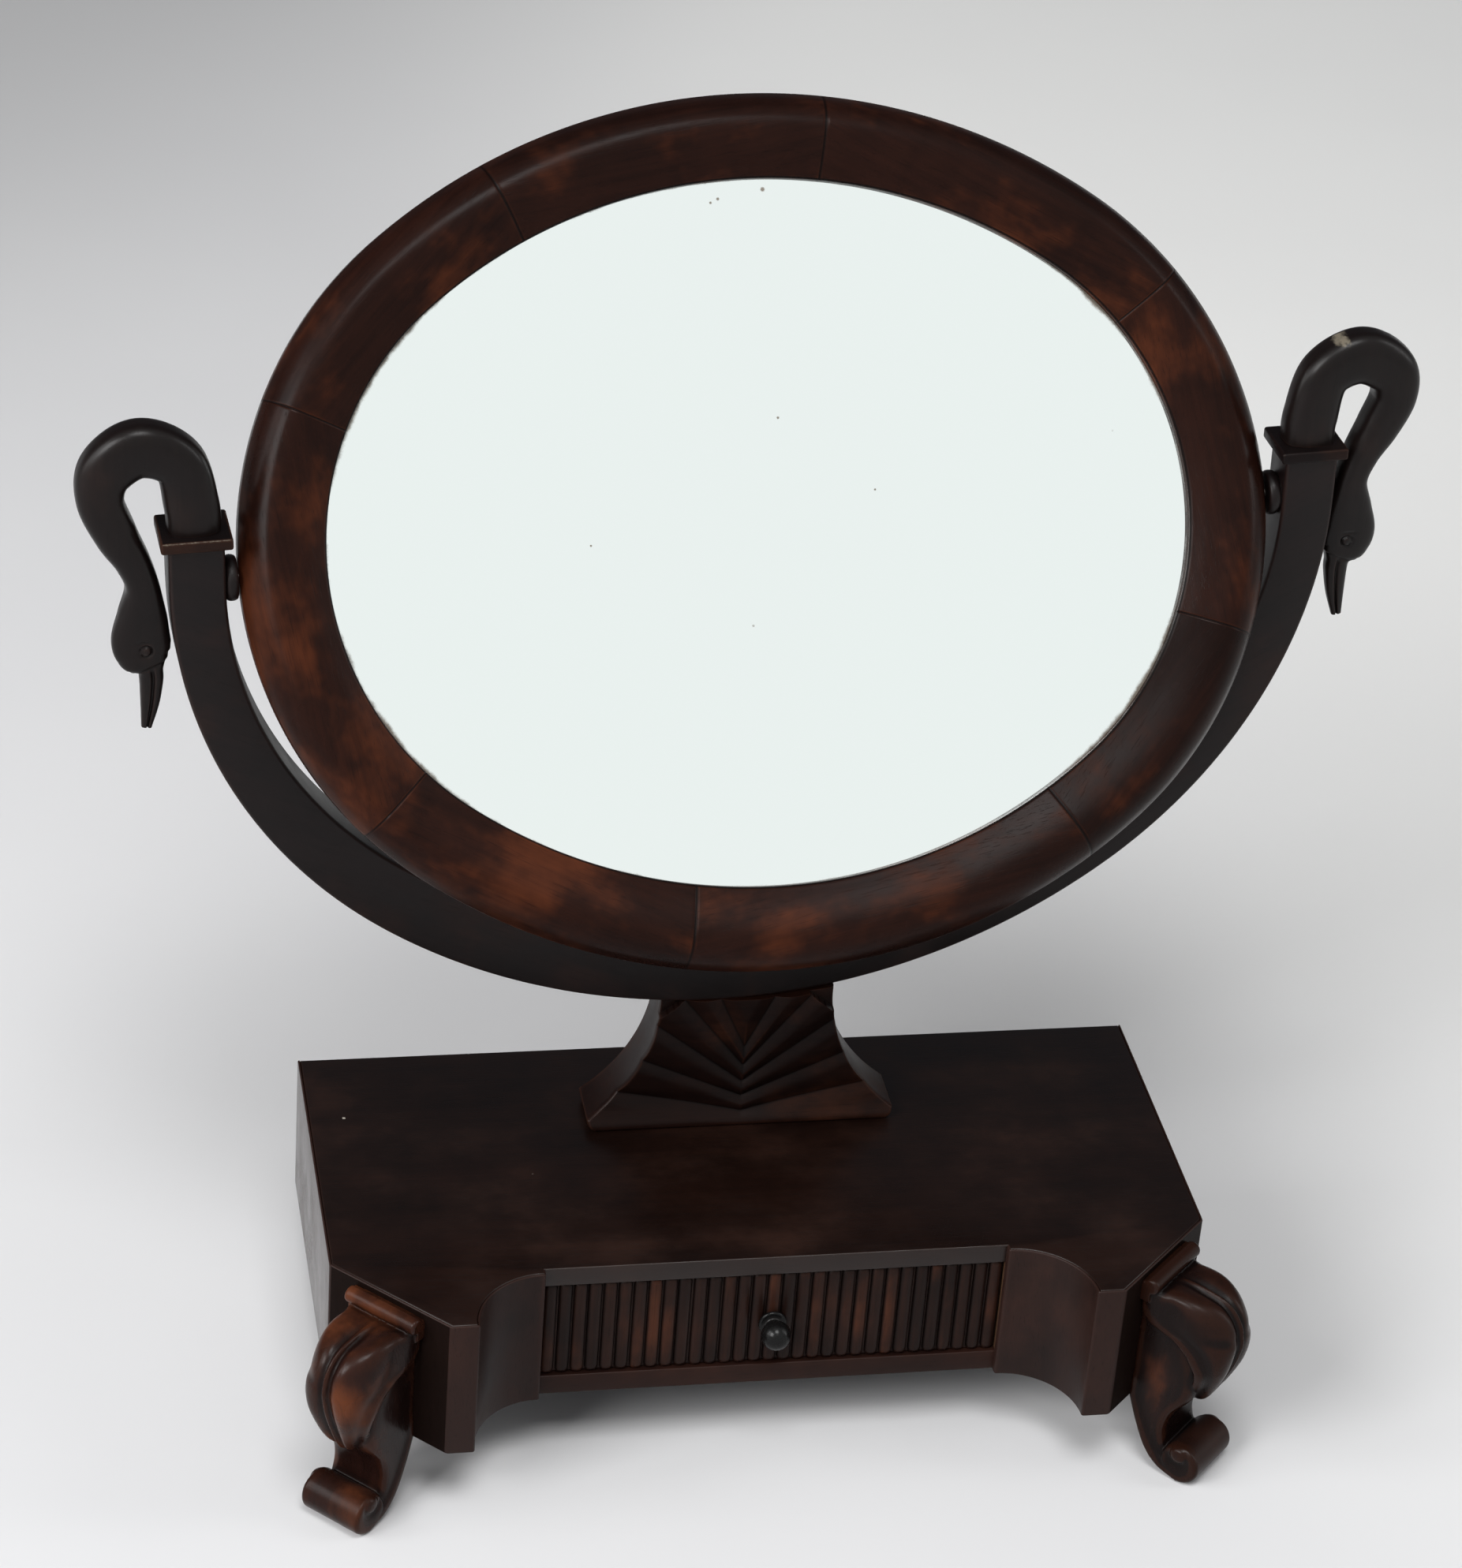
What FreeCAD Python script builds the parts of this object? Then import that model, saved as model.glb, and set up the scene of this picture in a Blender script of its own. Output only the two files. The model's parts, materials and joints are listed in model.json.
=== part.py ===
"""Swing toilet mirror: an oval mirror hung between the arms of a crescent yoke with swan finials,
standing on a carved pedestal and a low case with one reeded drawer and scroll feet. Millimetres."""
import FreeCAD
import Part
import math
import os

V = FreeCAD.Vector

# Case: overall sizes, the canted front corners and the scooped coves beside the drawer.
case_width = 420.0
case_depth = 215.0
case_height = 75.0
case_lift = 37.5            # floor to the underside of the case
cant_size = 51.0            # cut of each front corner, along X and along Y
post_face = 13.0            # flat between the cant and the cove
cove_radius = 35.0
cove_lip = 4.0              # the cove ends stand this far in front of the rails
cove_veneer = 1.5
top_thickness = 10.5
bottom_thickness = 11.0
side_thickness = 12.0
back_thickness = 10.0
block_wall = 12.0           # wood behind the cove and the cant in each corner block
guide_width = 10.0
guide_height = 14.0
stop_width = 24.0
stop_height = 9.0

# Drawer: a box behind a front faced with vertical half-round reeds.
drawer_gap = 0.4            # beside and above the drawer
slide_gap = 0.3             # under the drawer
stop_gap = 0.3              # behind the closed drawer
drawer_back_space = 12.0    # between the drawer and the case back
drawer_board = 10.0
drawer_wall = 6.0
side_drop = 14.8            # drawer sides below the top of the front
drawer_floor = 4.0
drawer_floor_lift = 4.0     # drawer floor above the lower edges of its sides
floor_groove = 3.0          # the floor is let into the sides and the front this far
reed_count = 31
reed_rise = 2.6
reed_flats = 5
reed_groove = 0.5
reed_recess = 0.8           # the reeds lie this far behind the rails
knob_drop = 2.0             # knob below the middle of the drawer front
knob_ball_radius = 6.6
knob_flats = 8
knob_sides = 20
knob_neck_radius = 3.4
knob_collar_radius = 6.8
knob_collar = 2.2
knob_reach = 10.5           # reeds to the middle of the ball
knob_stem_radius = 2.5
fit_gap = 0.05              # radial play of pins and stems in their holes
tenon_gap = 0.1             # play all round each tenon

# Front feet: scrolls on the canted corners, with a leaf-carved knee under a roll.
foot_half_width = 17.5
foot_reach = 48.0           # cant face to the front of the knee
foot_drop = 1.0             # foot below the top of the case
foot_plate = 5.0
foot_plate_height = 12.0
roll_radius = 4.0
roll_length = 41.0
rib_width = 2.6
rib_rise = 2.0
toe_radius = 10.3
toe_offset = 31.2           # cant face to the middle of the toe scroll
toe_flat = 0.4              # worn flat under the toe
toe_eye_radius = 4.2
toe_eye_rise = 1.2
toe_eye_lift = 5.7          # eye above the middle of the toe scroll
toe_turn = 150.0            # degrees round the scroll from its front, where the leg leaves it
sweep_places = ((0.16, 0.65), (0.37, 0.31), (0.625, 0.104))  # shares of the toe's offset and of the lift
ankle_place = (0.435, 0.26)  # shares of the reach and the height, on the front of the leg
shin_place = (0.646, 0.43)
leaf_place = (0.7125, 0.565)
leaf_top = 0.82             # share of the height where the edge of the leaf meets the backing
knee_points = 9
knee_squareness = 3.2
knee_cleft = 2.5            # depth of the cleft between the two lobes of the leaf
knee_stations = (           # shares of the height, of the reach behind and in front, and of the half width
    (0.386, 0.50, 0.69, 0.30), (0.43, 0.583, 0.76, 0.58), (0.51, 0.646, 0.845, 0.84), (0.59, 0.673, 0.92, 1.00),
    (0.645, 0.625, 0.96, 1.06), (0.70, 0.53, 0.987, 1.09), (0.745, 0.365, 1.00, 1.11), (0.78, 0.135, 0.99, 1.13),
    (0.83, 0.04, 0.963, 1.14), (0.888, 0.02, 0.875, 1.12), (0.928, 0.01, 0.73, 1.08), (0.953, 0.01, 0.50, 1.00))
foot_tenon_width = 10.0
foot_tenon_depth = 12.0

# Rear feet: plain tapered blocks under the back corners.
rear_foot_top = 40.0
rear_foot_bottom = 32.0
rear_foot_inset = 16.0

# Pedestal: a flared block with concave sides and a fan of grooves on its face.
pedestal_height = 72.0
pedestal_foot_width = 152.0
pedestal_top_width = 85.0
pedestal_depth = 25.0
pedestal_nose = 6.0
pedestal_from_back = 54.5   # middle of the pedestal to the back of the case
fan_count = 5
fan_first = 7.0             # lowest groove, where its two arms meet
fan_step = 6.9
fan_growth = 0.52
fan_angle = 11.5
fan_turn = 13.5
groove_width = 2.2          # at the face
groove_depth = 1.8
ear_height = 9.0            # cut corners beside the top of the fan
ear_width = 11.0
ear_depth = 4.0
stub_side = 31.0            # shoulders of the stub under the pedestal
stub_front = 6.0
stub_wall = 4.5             # wood of the case top under the stub

# Yoke: two arms that meet over the pedestal, each a quarter of a crescent and a short upright.
arm_gap = 6.5               # frame to the inside of each arm
swing_gap = 13.0            # frame to the inside of the crescent, below it
yoke_arm_width = 25.0
yoke_middle_width = 37.5
yoke_depth = 22.0
arm_rise = 21.5             # pivot axis to the top of the arm
yoke_turn = 2.9             # degrees the yoke has twisted on the pedestal, 0 as made
yoke_lean = 2.2             # degrees the yoke has sunk to its left, 0 as made
yoke_tenon_width = 40.0
yoke_tenon_depth = 10.0
yoke_tenon_length = 40.0

# Collars and swans on top of the arms.
collar_overhang = 3.5       # beyond the arm, all round
collar_thickness = 3.6
collar_chamfer = 0.9
swan_height = 56.0          # collar to the crown of the neck
swan_reach = 51.0           # arm to the outside of the curl
swan_neck_width = 24.0      # at the collar
swan_depth = 19.5
swan_thinning = 0.8         # share of the depth lost at the tip of the beak
swan_squareness = 3.0
swan_rings = 32
swan_points = 12
swan_stations = (           # shares of the reach, of the height, and of the half width at the collar
    (0.00, 0.00, 1.00), (0.01, 0.244, 1.02), (0.12, 0.542, 1.07), (0.43, 0.75, 1.13),
    (0.73, 0.614, 1.00), (0.82, 0.365, 0.80), (0.715, 0.066, 0.70), (0.585, -0.188, 0.58),
    (0.50, -0.421, 0.56), (0.51, -0.686, 0.80), (0.52, -0.908, 0.97), (0.495, -1.057, 0.88),
    (0.44, -1.151, 0.60), (0.42, -1.273, 0.46), (0.44, -1.517, 0.36), (0.48, -1.749, 0.19))
swan_tenon_width = 8.0
swan_tenon_depth = 14.0

# Oval frame: eight glued pieces with a cushion face, a rebate for the glass and a back board.
sight_half_width = 200.0
sight_half_height = 160.0
ring_width = 39.0
ring_crown = 12.0           # crown of the cushion in front of the glass
crown_place = 0.45          # crown's share of the way out across the frame
ring_flats = 6              # flats that make up the cushion
ring_sight = 4.5
ring_edge = 1.0             # outer wall starts behind the front of the glass
rebate_width = 8.0
rebate_gap = 0.5
ring_joints = (36.5, 81.0, 114.5, 154.5, 222.0, 259.0, 300.5, 338.5)
glass_thickness = 3.5
board_thickness = 5.0
wedge_length = 18.0
wedge_width = 5.0
wedge_thickness = 2.5
wedge_recess = 1.0          # the wedges lie this far inside the back of the frame
mirror_tilt = 30.0          # degrees the top of the mirror leans back

# Pivots: a steel pin in each arm, a turned boss, and a bore in the frame.
pivot_radius = 3.0
pivot_in_arm = 15.0
pivot_in_ring = 16.0
boss_radius = 10.5
boss_gap = 0.4

# Sizes that follow from those above.
half_width = case_width / 2
open_half = half_width - cant_size - post_face - cove_radius
cove_edge = open_half + cove_radius
rail_y = cove_radius + cove_lip
block_back = max(cant_size, cove_radius + cove_veneer) + block_wall
back_y = case_depth - back_thickness
z_floor = case_lift + bottom_thickness
z_top = case_lift + case_height
z_ceiling = z_top - top_thickness
pedestal_y = case_depth - pedestal_from_back
ring_back = glass_thickness + board_thickness + wedge_thickness + wedge_recess
glass_y = -ring_back / 2    # the pivot axis runs through the middle of the frame's outer wall
ring_out = sight_half_width + ring_width
arm_inside = ring_out + arm_gap
arm_middle = arm_inside + yoke_arm_width / 2
yoke_half_span = arm_inside + yoke_arm_width
yoke_clear = sight_half_height + ring_width + swing_gap
yoke_drop = yoke_clear + yoke_middle_width
swan_foot = arm_rise + collar_thickness
oval_turn = math.degrees(math.atan2(4, 3))


def segments(*points):
    """Straight edges through the points in order."""
    return [Part.LineSegment(a, b) for a, b in zip(points, points[1:])]


def flats(start, middle, end, count):
    """Arc through three points, worked as straight flats."""
    return segments(*Part.Arc(start, middle, end).toShape().discretize(Number=count + 1))


def face_of(curves):
    """Flat face inside a closed run of curves."""
    edges = Part.__sortEdges__([curve.toShape() for curve in curves])
    return Part.Face(Part.Wire(edges))


def plate(curves, low, high):
    """Plan outline raised from one height to another."""
    solid = face_of(curves).extrude(V(0, 0, high - low))
    solid.translate(V(0, 0, low))
    return solid


def panel(curves, front, back):
    """Outline drawn as (x, z), carried from a front plane to a back plane."""
    solid = face_of(curves).extrude(V(0, 0, back - front))
    solid.translate(V(0, 0, -back))
    solid.rotate(V(), V(1, 0, 0), 90)
    return solid


def block(x, y, z):
    """Box between pairs of limits along X, Y and Z."""
    return Part.makeBox(x[1] - x[0], y[1] - y[0], z[1] - z[0], V(x[0], y[0], z[0]))


def rod(radius, start, end):
    """Round bar from one point to another."""
    run = end - start
    return Part.makeCylinder(radius, run.Length, start, run)


def mirrored(shape):
    """The same piece on the other side of the middle plane."""
    return shape.mirror(V(), V(1, 0, 0))


def placed(shape, place):
    """Copy of a piece moved by a placement."""
    copy = shape.copy()
    copy.Placement = place.multiply(copy.Placement)
    return copy


def oval_centre(half_x, half_y, angle):
    """Centre and radius of the arc that faces a direction, on an oval struck from a 3-4-5 triangle."""
    excess = half_x - half_y
    if oval_turn < angle % 180 < 180 - oval_turn:
        side = 1 if angle % 360 < 180 else -1
        return V(0, -2 * excess * side), half_x + excess
    side = 1 if math.cos(math.radians(angle)) > 0 else -1
    return V(1.5 * excess * side, 0), half_y - excess / 2


def oval_stops(start, end):
    """Directions from start to end in degrees, with the places between them where two arcs meet."""
    meets = [half + side * oval_turn for half in range(-360, 721, 180) for side in (-1, 1)]
    return [start] + sorted(angle for angle in meets if start < angle < end) + [end]


def oval(half_x, half_y, start, end):
    """Arcs of an oval about the origin between two directions in degrees."""
    arcs = []
    stops = oval_stops(start, end)
    for first, last in zip(stops, stops[1:]):
        centre, radius = oval_centre(half_x, half_y, (first + last) / 2)
        turns = [math.radians(angle) for angle in (first, (first + last) / 2, last)]
        points = [centre + V(radius * math.cos(turn), radius * math.sin(turn)) for turn in turns]
        arcs.append(Part.Arc(*points))
    return arcs


def rounded(turn, squareness):
    """Across and along shares of a point on a rounded square: 2 is a circle, more is squarer."""
    shares = []
    for part in (math.cos(turn), math.sin(turn)):
        shares.append(math.copysign(abs(part) ** (2 / squareness), part))
    return shares


def skin(rings):
    """Carved solid: flat three-sided facets between neighbouring rings of points, and flat ends."""
    faces = [Part.Face(Part.makePolygon(ring + ring[:1])) for ring in (rings[0], rings[-1])]
    for low, high in zip(rings, rings[1:]):
        for index in range(len(low)):
            a, b, c, d = low[index - 1], low[index], high[index], high[index - 1]
            faces.append(Part.Face(Part.makePolygon([a, b, c, a])))
            faces.append(Part.Face(Part.makePolygon([a, c, d, a])))
    solid = Part.Solid(Part.Shell(faces))
    if solid.Volume < 0:
        solid.reverse()
    return solid


parts = {}


# Case

def corner_arc(radius, side):
    """Quarter of the scooped cove, from the post face to the drawer opening."""
    middle = radius * math.sqrt(0.5)
    return Part.Arc(V(side * (open_half + radius), 0), V(side * (open_half + middle), middle),
                    V(side * open_half, radius))


def case_plan():
    """Outline of the top and the bottom board."""
    right = segments(V(half_width, case_depth), V(half_width, cant_size), V(half_width - cant_size, 0),
                     V(cove_edge, 0)) + [corner_arc(cove_radius, 1)]
    front = segments(V(open_half, cove_radius), V(open_half, rail_y), V(-open_half, rail_y),
                     V(-open_half, cove_radius))
    left = [corner_arc(cove_radius, -1)] + segments(V(-cove_edge, 0), V(cant_size - half_width, 0),
                                                    V(-half_width, cant_size), V(-half_width, case_depth))
    return right + front + left + segments(V(-half_width, case_depth), V(half_width, case_depth))


def corner_block():
    """Right corner block: canted face, post face and the hollow behind the cove's veneer."""
    hollow = cove_radius + cove_veneer
    return plate([corner_arc(hollow, 1)]
                 + segments(V(open_half, hollow), V(open_half, block_back), V(half_width, block_back),
                            V(half_width, cant_size), V(half_width - cant_size, 0),
                            V(open_half + hollow, 0)), z_floor, z_ceiling)


def cove_sheet():
    """Right cove: bent veneer on the hollow of the corner block."""
    hollow = cove_radius + cove_veneer
    return plate([corner_arc(cove_radius, 1)] + segments(V(open_half, cove_radius), V(open_half, hollow))
                 + [corner_arc(hollow, 1)] + segments(V(open_half + hollow, 0), V(cove_edge, 0)),
                 z_floor, z_ceiling)


def rear_foot():
    """Right rear foot: a square block that tapers to the floor."""
    taper = (rear_foot_top - rear_foot_bottom) / 2
    foot = Part.makeWedge(0, 0, 0, taper, taper, rear_foot_top, case_lift, rear_foot_top,
                          rear_foot_top - taper, rear_foot_top - taper)
    foot.rotate(V(), V(1, 0, 0), -90)
    far = rear_foot_inset + rear_foot_top
    foot.translate(V(half_width - far, case_depth - far, case_lift))
    return foot


parts["case_top"] = plate(case_plan(), z_ceiling, z_top)
parts["case_bottom"] = plate(case_plan(), case_lift, z_floor)
parts["corner_block_right"] = corner_block()
parts["cove_right"] = cove_sheet()
parts["case_side_right"] = block((half_width - side_thickness, half_width), (block_back, case_depth),
                                 (z_floor, z_ceiling))
parts["drawer_guide_right"] = block((open_half, open_half + guide_width), (block_back, back_y),
                                    (z_floor, z_floor + guide_height))
parts["rear_foot_right"] = rear_foot()
inner_half = half_width - side_thickness
parts["case_back"] = block((-inner_half, inner_half), (back_y, case_depth), (z_floor, z_ceiling))


# Front feet, drawn at the origin as (outward, height) and across the cant, then set on the corner.

foot_top = z_top - foot_drop
foot_place = FreeCAD.Placement(V(half_width - cant_size / 2, cant_size / 2, 0),
                               FreeCAD.Rotation(V(0, 0, 1), -45))


def foot_point(outward, high):
    """Place on the side of the foot as shares of its reach and its height."""
    return V(outward * foot_reach, high * foot_top)


def leg_outline():
    """Side of the leg: straight back, sweep to the floor, toe scroll, ankle and the edge of the leaf."""
    heel, waist, arch = [V(out * toe_offset, high * case_lift) for out, high in sweep_places]
    middle, front = V(toe_offset, toe_radius), math.radians(toe_turn / 5)
    turn, shin = math.radians(toe_turn), foot_point(*shin_place)
    toe_front = middle + V(math.cos(front), math.sin(front)) * toe_radius
    toe_end = middle + V(math.cos(turn), math.sin(turn)) * toe_radius
    leaf_end = V(foot_plate, leaf_top * foot_top)
    return [Part.Arc(V(0, case_lift), heel, waist), Part.Arc(waist, arch, V(toe_offset, 0)),
            Part.Arc(V(toe_offset, 0), toe_front, toe_end),
            Part.Arc(toe_end, foot_point(*ankle_place), shin),
            Part.Arc(shin, foot_point(*leaf_place), leaf_end)] + segments(
                leaf_end, V(foot_plate, foot_top), V(0, foot_top), V(0, case_lift))


def knee():
    """Knee carved as a leaf: two lobes on the front of the leg, and a thin rib in the cleft between them."""
    rings, cleft = [], []
    for high, back, front, wide in knee_stations:
        ring = []
        for index in range(knee_points):
            across, out = rounded(math.pi * index / (knee_points - 1), knee_squareness)
            ring.append(V((back + (front - back) * out) * foot_reach, across * wide * foot_half_width,
                          high * foot_top))
        ring[knee_points // 2] -= V(knee_cleft, 0, 0)
        rings.append(ring)
        cleft.append(foot_point(front, high) - V(knee_cleft, 0))
    crown = [point + V(rib_rise, 0) for point in cleft]
    inside = [point - V(rib_rise, 0) for point in reversed(cleft)]
    rib = panel(segments(*crown, *inside, crown[0]), -rib_width / 2, rib_width / 2)
    return skin(rings).fuse(rib)


def front_foot():
    """Right front foot in one carved piece."""
    leg = panel(leg_outline(), -foot_half_width, foot_half_width)
    backing = block((0, foot_plate), (-roll_length / 2, roll_length / 2),
                    (foot_top - foot_plate_height, foot_top))
    roll_middle = V(foot_plate, 0, foot_top - roll_radius)
    roll = rod(roll_radius, roll_middle - V(0, roll_length / 2), roll_middle + V(0, roll_length / 2))
    eye_end = V(0, foot_half_width + toe_eye_rise)
    eye_middle = V(toe_offset, 0, toe_radius + toe_eye_lift)
    eye = rod(toe_eye_radius, eye_middle - eye_end, eye_middle + eye_end)
    foot = leg.multiFuse([knee(), backing, roll, eye]).removeSplitter()
    worn = block((-foot_reach, 2 * foot_reach), (-roll_length, roll_length), (-toe_radius, toe_flat))
    foot = foot.cut(worn)
    foot.translate(V(0, 0, -toe_flat))
    return foot


def foot_tenon(gap):
    """Loose tenon between the right foot and its corner block, grown by a gap."""
    half, end = foot_tenon_width / 2 + gap, foot_tenon_depth + gap
    middle, tall = (z_floor + z_ceiling) / 2, (z_ceiling - z_floor) / 4 + gap
    return placed(block((-end, end), (-half, half), (middle - tall, middle + tall)), foot_place)


parts["front_foot_right"] = placed(front_foot(), foot_place).cut(foot_tenon(tenon_gap))
parts["corner_block_right"] = parts["corner_block_right"].cut(foot_tenon(tenon_gap))
parts["foot_tenon_right"] = foot_tenon(0)

for name in ("corner_block", "cove", "case_side", "drawer_guide", "rear_foot", "front_foot", "foot_tenon"):
    parts[name + "_left"] = mirrored(parts[name + "_right"])


# Drawer

reed_y = rail_y + reed_recess
front_y = reed_y + reed_rise
drawer_half = open_half - drawer_gap
drawer_low = z_floor + slide_gap
drawer_high = z_ceiling - drawer_gap
side_high = drawer_high - side_drop
box_y = front_y + drawer_board
drawer_end = back_y - drawer_back_space
wall_half = drawer_half - drawer_wall
floor_low = drawer_low + drawer_floor_lift
knob_z = (drawer_low + drawer_high) / 2 - knob_drop


def reed(middle, width):
    """One half-round reed standing on the drawer front."""
    left, right = middle - width / 2, middle + width / 2
    bow = flats(V(left, front_y), V(middle, reed_y), V(right, front_y), reed_flats)
    return plate(bow + segments(V(right, front_y), V(left, front_y)), drawer_low, drawer_high)


def knob():
    """Turned knob: stem through the drawer front, collar, neck and ball."""
    profile = [(knob_stem_radius, reed_y - box_y), (knob_stem_radius, 0), (knob_collar_radius, 0),
               (knob_collar_radius, knob_collar), (knob_neck_radius, knob_collar)]
    neck_turn = math.asin(knob_neck_radius / knob_ball_radius)
    for index in range(knob_flats):
        turn = neck_turn + (math.pi - neck_turn) * index / (knob_flats - 0.5)
        profile.append((knob_ball_radius * math.sin(turn), knob_reach - knob_ball_radius * math.cos(turn)))
    rings = []
    for radius, forward in profile:
        turns = [2 * math.pi * index / knob_sides for index in range(knob_sides)]
        rings.append([V(radius * math.cos(turn), reed_y - forward, knob_z + radius * math.sin(turn))
                      for turn in turns])
    return skin(rings)


stem_hole = rod(knob_stem_radius + fit_gap, V(0, rail_y, knob_z), V(0, box_y, knob_z))
reed_pitch = 2 * drawer_half / reed_count
reeds = [reed((index + 0.5) * reed_pitch - drawer_half, reed_pitch - reed_groove)
         for index in range(reed_count)]
floor_board = block((-wall_half - floor_groove, wall_half + floor_groove),
                    (box_y - floor_groove, drawer_end), (floor_low, floor_low + drawer_floor))
parts["drawer_front"] = block((-drawer_half, drawer_half), (front_y, box_y),
                              (drawer_low, drawer_high)).cut([stem_hole, floor_board])
parts["drawer_reeds"] = Part.makeCompound([bar.cut(stem_hole) for bar in reeds])
parts["drawer_knob"] = knob()
parts["drawer_side_right"] = block((wall_half, drawer_half), (box_y, drawer_end),
                                   (drawer_low, side_high)).cut(floor_board)
parts["drawer_side_left"] = mirrored(parts["drawer_side_right"])
parts["drawer_back"] = block((-wall_half, wall_half), (drawer_end - drawer_wall, drawer_end),
                             (floor_low + drawer_floor, side_high))
parts["drawer_floor"] = floor_board
stop = block((wall_half - stop_width, wall_half), (drawer_end + stop_gap, back_y),
             (z_floor, z_floor + stop_height))
parts["drawer_stops"] = Part.makeCompound([stop, mirrored(stop)])


# Yoke, collars and swans: drawn square about the pivot axis, then set on the pedestal as it stands.

seat = V(0, pedestal_y, z_top + pedestal_height)
stance = FreeCAD.Rotation(V(0, 0, 1), yoke_turn).multiply(FreeCAD.Rotation(V(0, 1, 0), -yoke_lean))
yoke_place = FreeCAD.Placement(seat + stance.multVec(V(0, 0, yoke_drop)), stance)


def yoke_arm():
    """Right half of the crescent with the upright that carries the pivot."""
    return panel(oval(yoke_half_span, yoke_drop, -90, 0) + oval(arm_inside, yoke_clear, -90, 0)
                 + segments(V(yoke_half_span, 0), V(yoke_half_span, arm_rise), V(arm_inside, arm_rise),
                            V(arm_inside, 0)) + segments(V(0, -yoke_clear), V(0, -yoke_drop)),
                 -yoke_depth / 2, yoke_depth / 2)


def yoke_tenon(gap):
    """Loose tenon between the pedestal and both arms, grown by a gap."""
    half = V(yoke_tenon_width / 2 + gap, yoke_tenon_depth / 2 + gap, yoke_tenon_length / 2 + gap)
    return block((-half.x, half.x), (-half.y, half.y), (-yoke_drop - half.z, half.z - yoke_drop))


def collar():
    """Thin square collar with eased edges, on the right arm."""
    wide, deep = yoke_arm_width / 2 + collar_overhang, yoke_depth / 2 + collar_overhang
    plain = block((arm_middle - wide, arm_middle + wide), (-deep, deep), (arm_rise, swan_foot))
    level = [edge for edge in plain.Edges if edge.BoundBox.ZLength < collar_thickness / 2]
    return plain.makeChamfer(collar_chamfer, level)


def swan():
    """Swan on the right collar: the neck rises, curls outward and hangs down to the head and beak.

    Rounded sections stand square to a smooth run through the stations, and thin from front to back with the
    cube of the way along."""
    run = Part.BSplineCurve()
    places = [V(x * swan_reach, z * swan_height, wide * swan_neck_width / 2) for x, z, wide in swan_stations]
    run.interpolate(places, InitialTangent=V(0, 1), FinalTangent=(places[-1] - places[-2]).normalize())
    rings = []
    for index in range(swan_rings + 1):
        way = index / swan_rings
        at = run.FirstParameter + way * (run.LastParameter - run.FirstParameter)
        x, z, half = run.value(at)
        heading = run.tangent(at)[0]
        across = V(-heading.y, 0, heading.x).normalize()
        half_depth = swan_depth / 2 * (1 - swan_thinning * way ** 3)
        ring = []
        for point in range(swan_points):
            wide, deep = rounded(2 * math.pi * (point + 0.5) / swan_points, swan_squareness)
            ring.append(V(arm_middle + x, half_depth * deep, swan_foot + z) + across * (half * wide))
        rings.append(ring)
    return skin(rings)


def swan_tenon(gap):
    """Square loose tenon through the collar, from the right arm into the swan, grown by a gap."""
    half = swan_tenon_width / 2 + gap
    return block((arm_middle - half, arm_middle + half), (-half, half),
                 (arm_rise - swan_tenon_depth - gap, swan_foot + swan_tenon_depth + gap))


def pivot_pin(gap):
    """Steel pin from the right arm into the oval frame, grown by a gap."""
    inner, outer = ring_out - pivot_in_ring - gap, arm_inside + pivot_in_arm + gap
    return rod(pivot_radius + gap, V(inner, 0, 0), V(outer, 0, 0))


def pivot_boss(gap):
    """Turned boss that fills the space between the right arm and the frame, grown by a gap."""
    return rod(boss_radius + gap, V(ring_out + boss_gap, 0, 0), V(arm_inside, 0, 0))


pin_hole, swan_mortise = pivot_pin(fit_gap), swan_tenon(tenon_gap)
upper = {"yoke_arm": yoke_arm().cut([yoke_tenon(tenon_gap), pin_hole, swan_mortise, pivot_boss(boss_gap)]),
         "collar": collar().cut(swan_mortise), "swan": swan().cut(swan_mortise), "swan_tenon": swan_tenon(0)}
for name, shape in upper.items():
    parts[name + "_right"] = placed(shape, yoke_place)
    parts[name + "_left"] = placed(mirrored(shape), yoke_place)
for name, shape in (("pivot_pins", pivot_pin(0)), ("pivot_bosses", pivot_boss(0).cut(pin_hole))):
    parts[name] = Part.makeCompound([placed(shape, yoke_place), placed(mirrored(shape), yoke_place)])
parts["yoke_tenon"] = placed(yoke_tenon(0), yoke_place)


# Pedestal

def pedestal_outline():
    """Front of the pedestal: rounded foot, concave sides and a straight top."""
    foot_half, top_half = pedestal_foot_width / 2, pedestal_top_width / 2
    rise, spread = pedestal_height - pedestal_nose, foot_half - top_half
    radius = (rise ** 2 + spread ** 2) / (2 * spread)
    half_turn = math.asin(rise / radius) / 2
    waist = V(top_half + radius * (1 - math.cos(half_turn)), pedestal_height - radius * math.sin(half_turn))
    nose = pedestal_nose * (1 - math.sqrt(0.5))
    crown = pedestal_height + top_half / 2

    def flip(point):
        return V(-point.x, point.y)

    shoulder, foot = V(top_half, pedestal_height), V(foot_half, pedestal_nose)
    toe, heel = V(foot_half - nose, nose), V(foot_half - pedestal_nose, 0)
    return (segments(V(top_half, crown), shoulder)
            + [Part.Arc(shoulder, waist, foot), Part.Arc(foot, toe, heel)] + segments(heel, flip(heel))
            + [Part.Arc(flip(heel), flip(toe), flip(foot)), Part.Arc(flip(foot), flip(waist), flip(shoulder))]
            + segments(flip(shoulder), V(-top_half, crown), V(top_half, crown)))


def fan_groove(apex, angle):
    """Cutter for one arm of a chevron: a V groove that climbs to the right from the middle."""
    lower, upper = V(0, -groove_depth, -groove_width), V(0, -groove_depth, groove_width)
    section = Part.Face(Part.makePolygon([lower, V(0, groove_depth, 0), upper, lower]))
    groove = section.extrude(V(pedestal_foot_width, 0, 0))
    groove.rotate(V(), V(0, 1, 0), -angle)
    groove.translate(V(0, 0, apex))
    return groove


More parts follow.
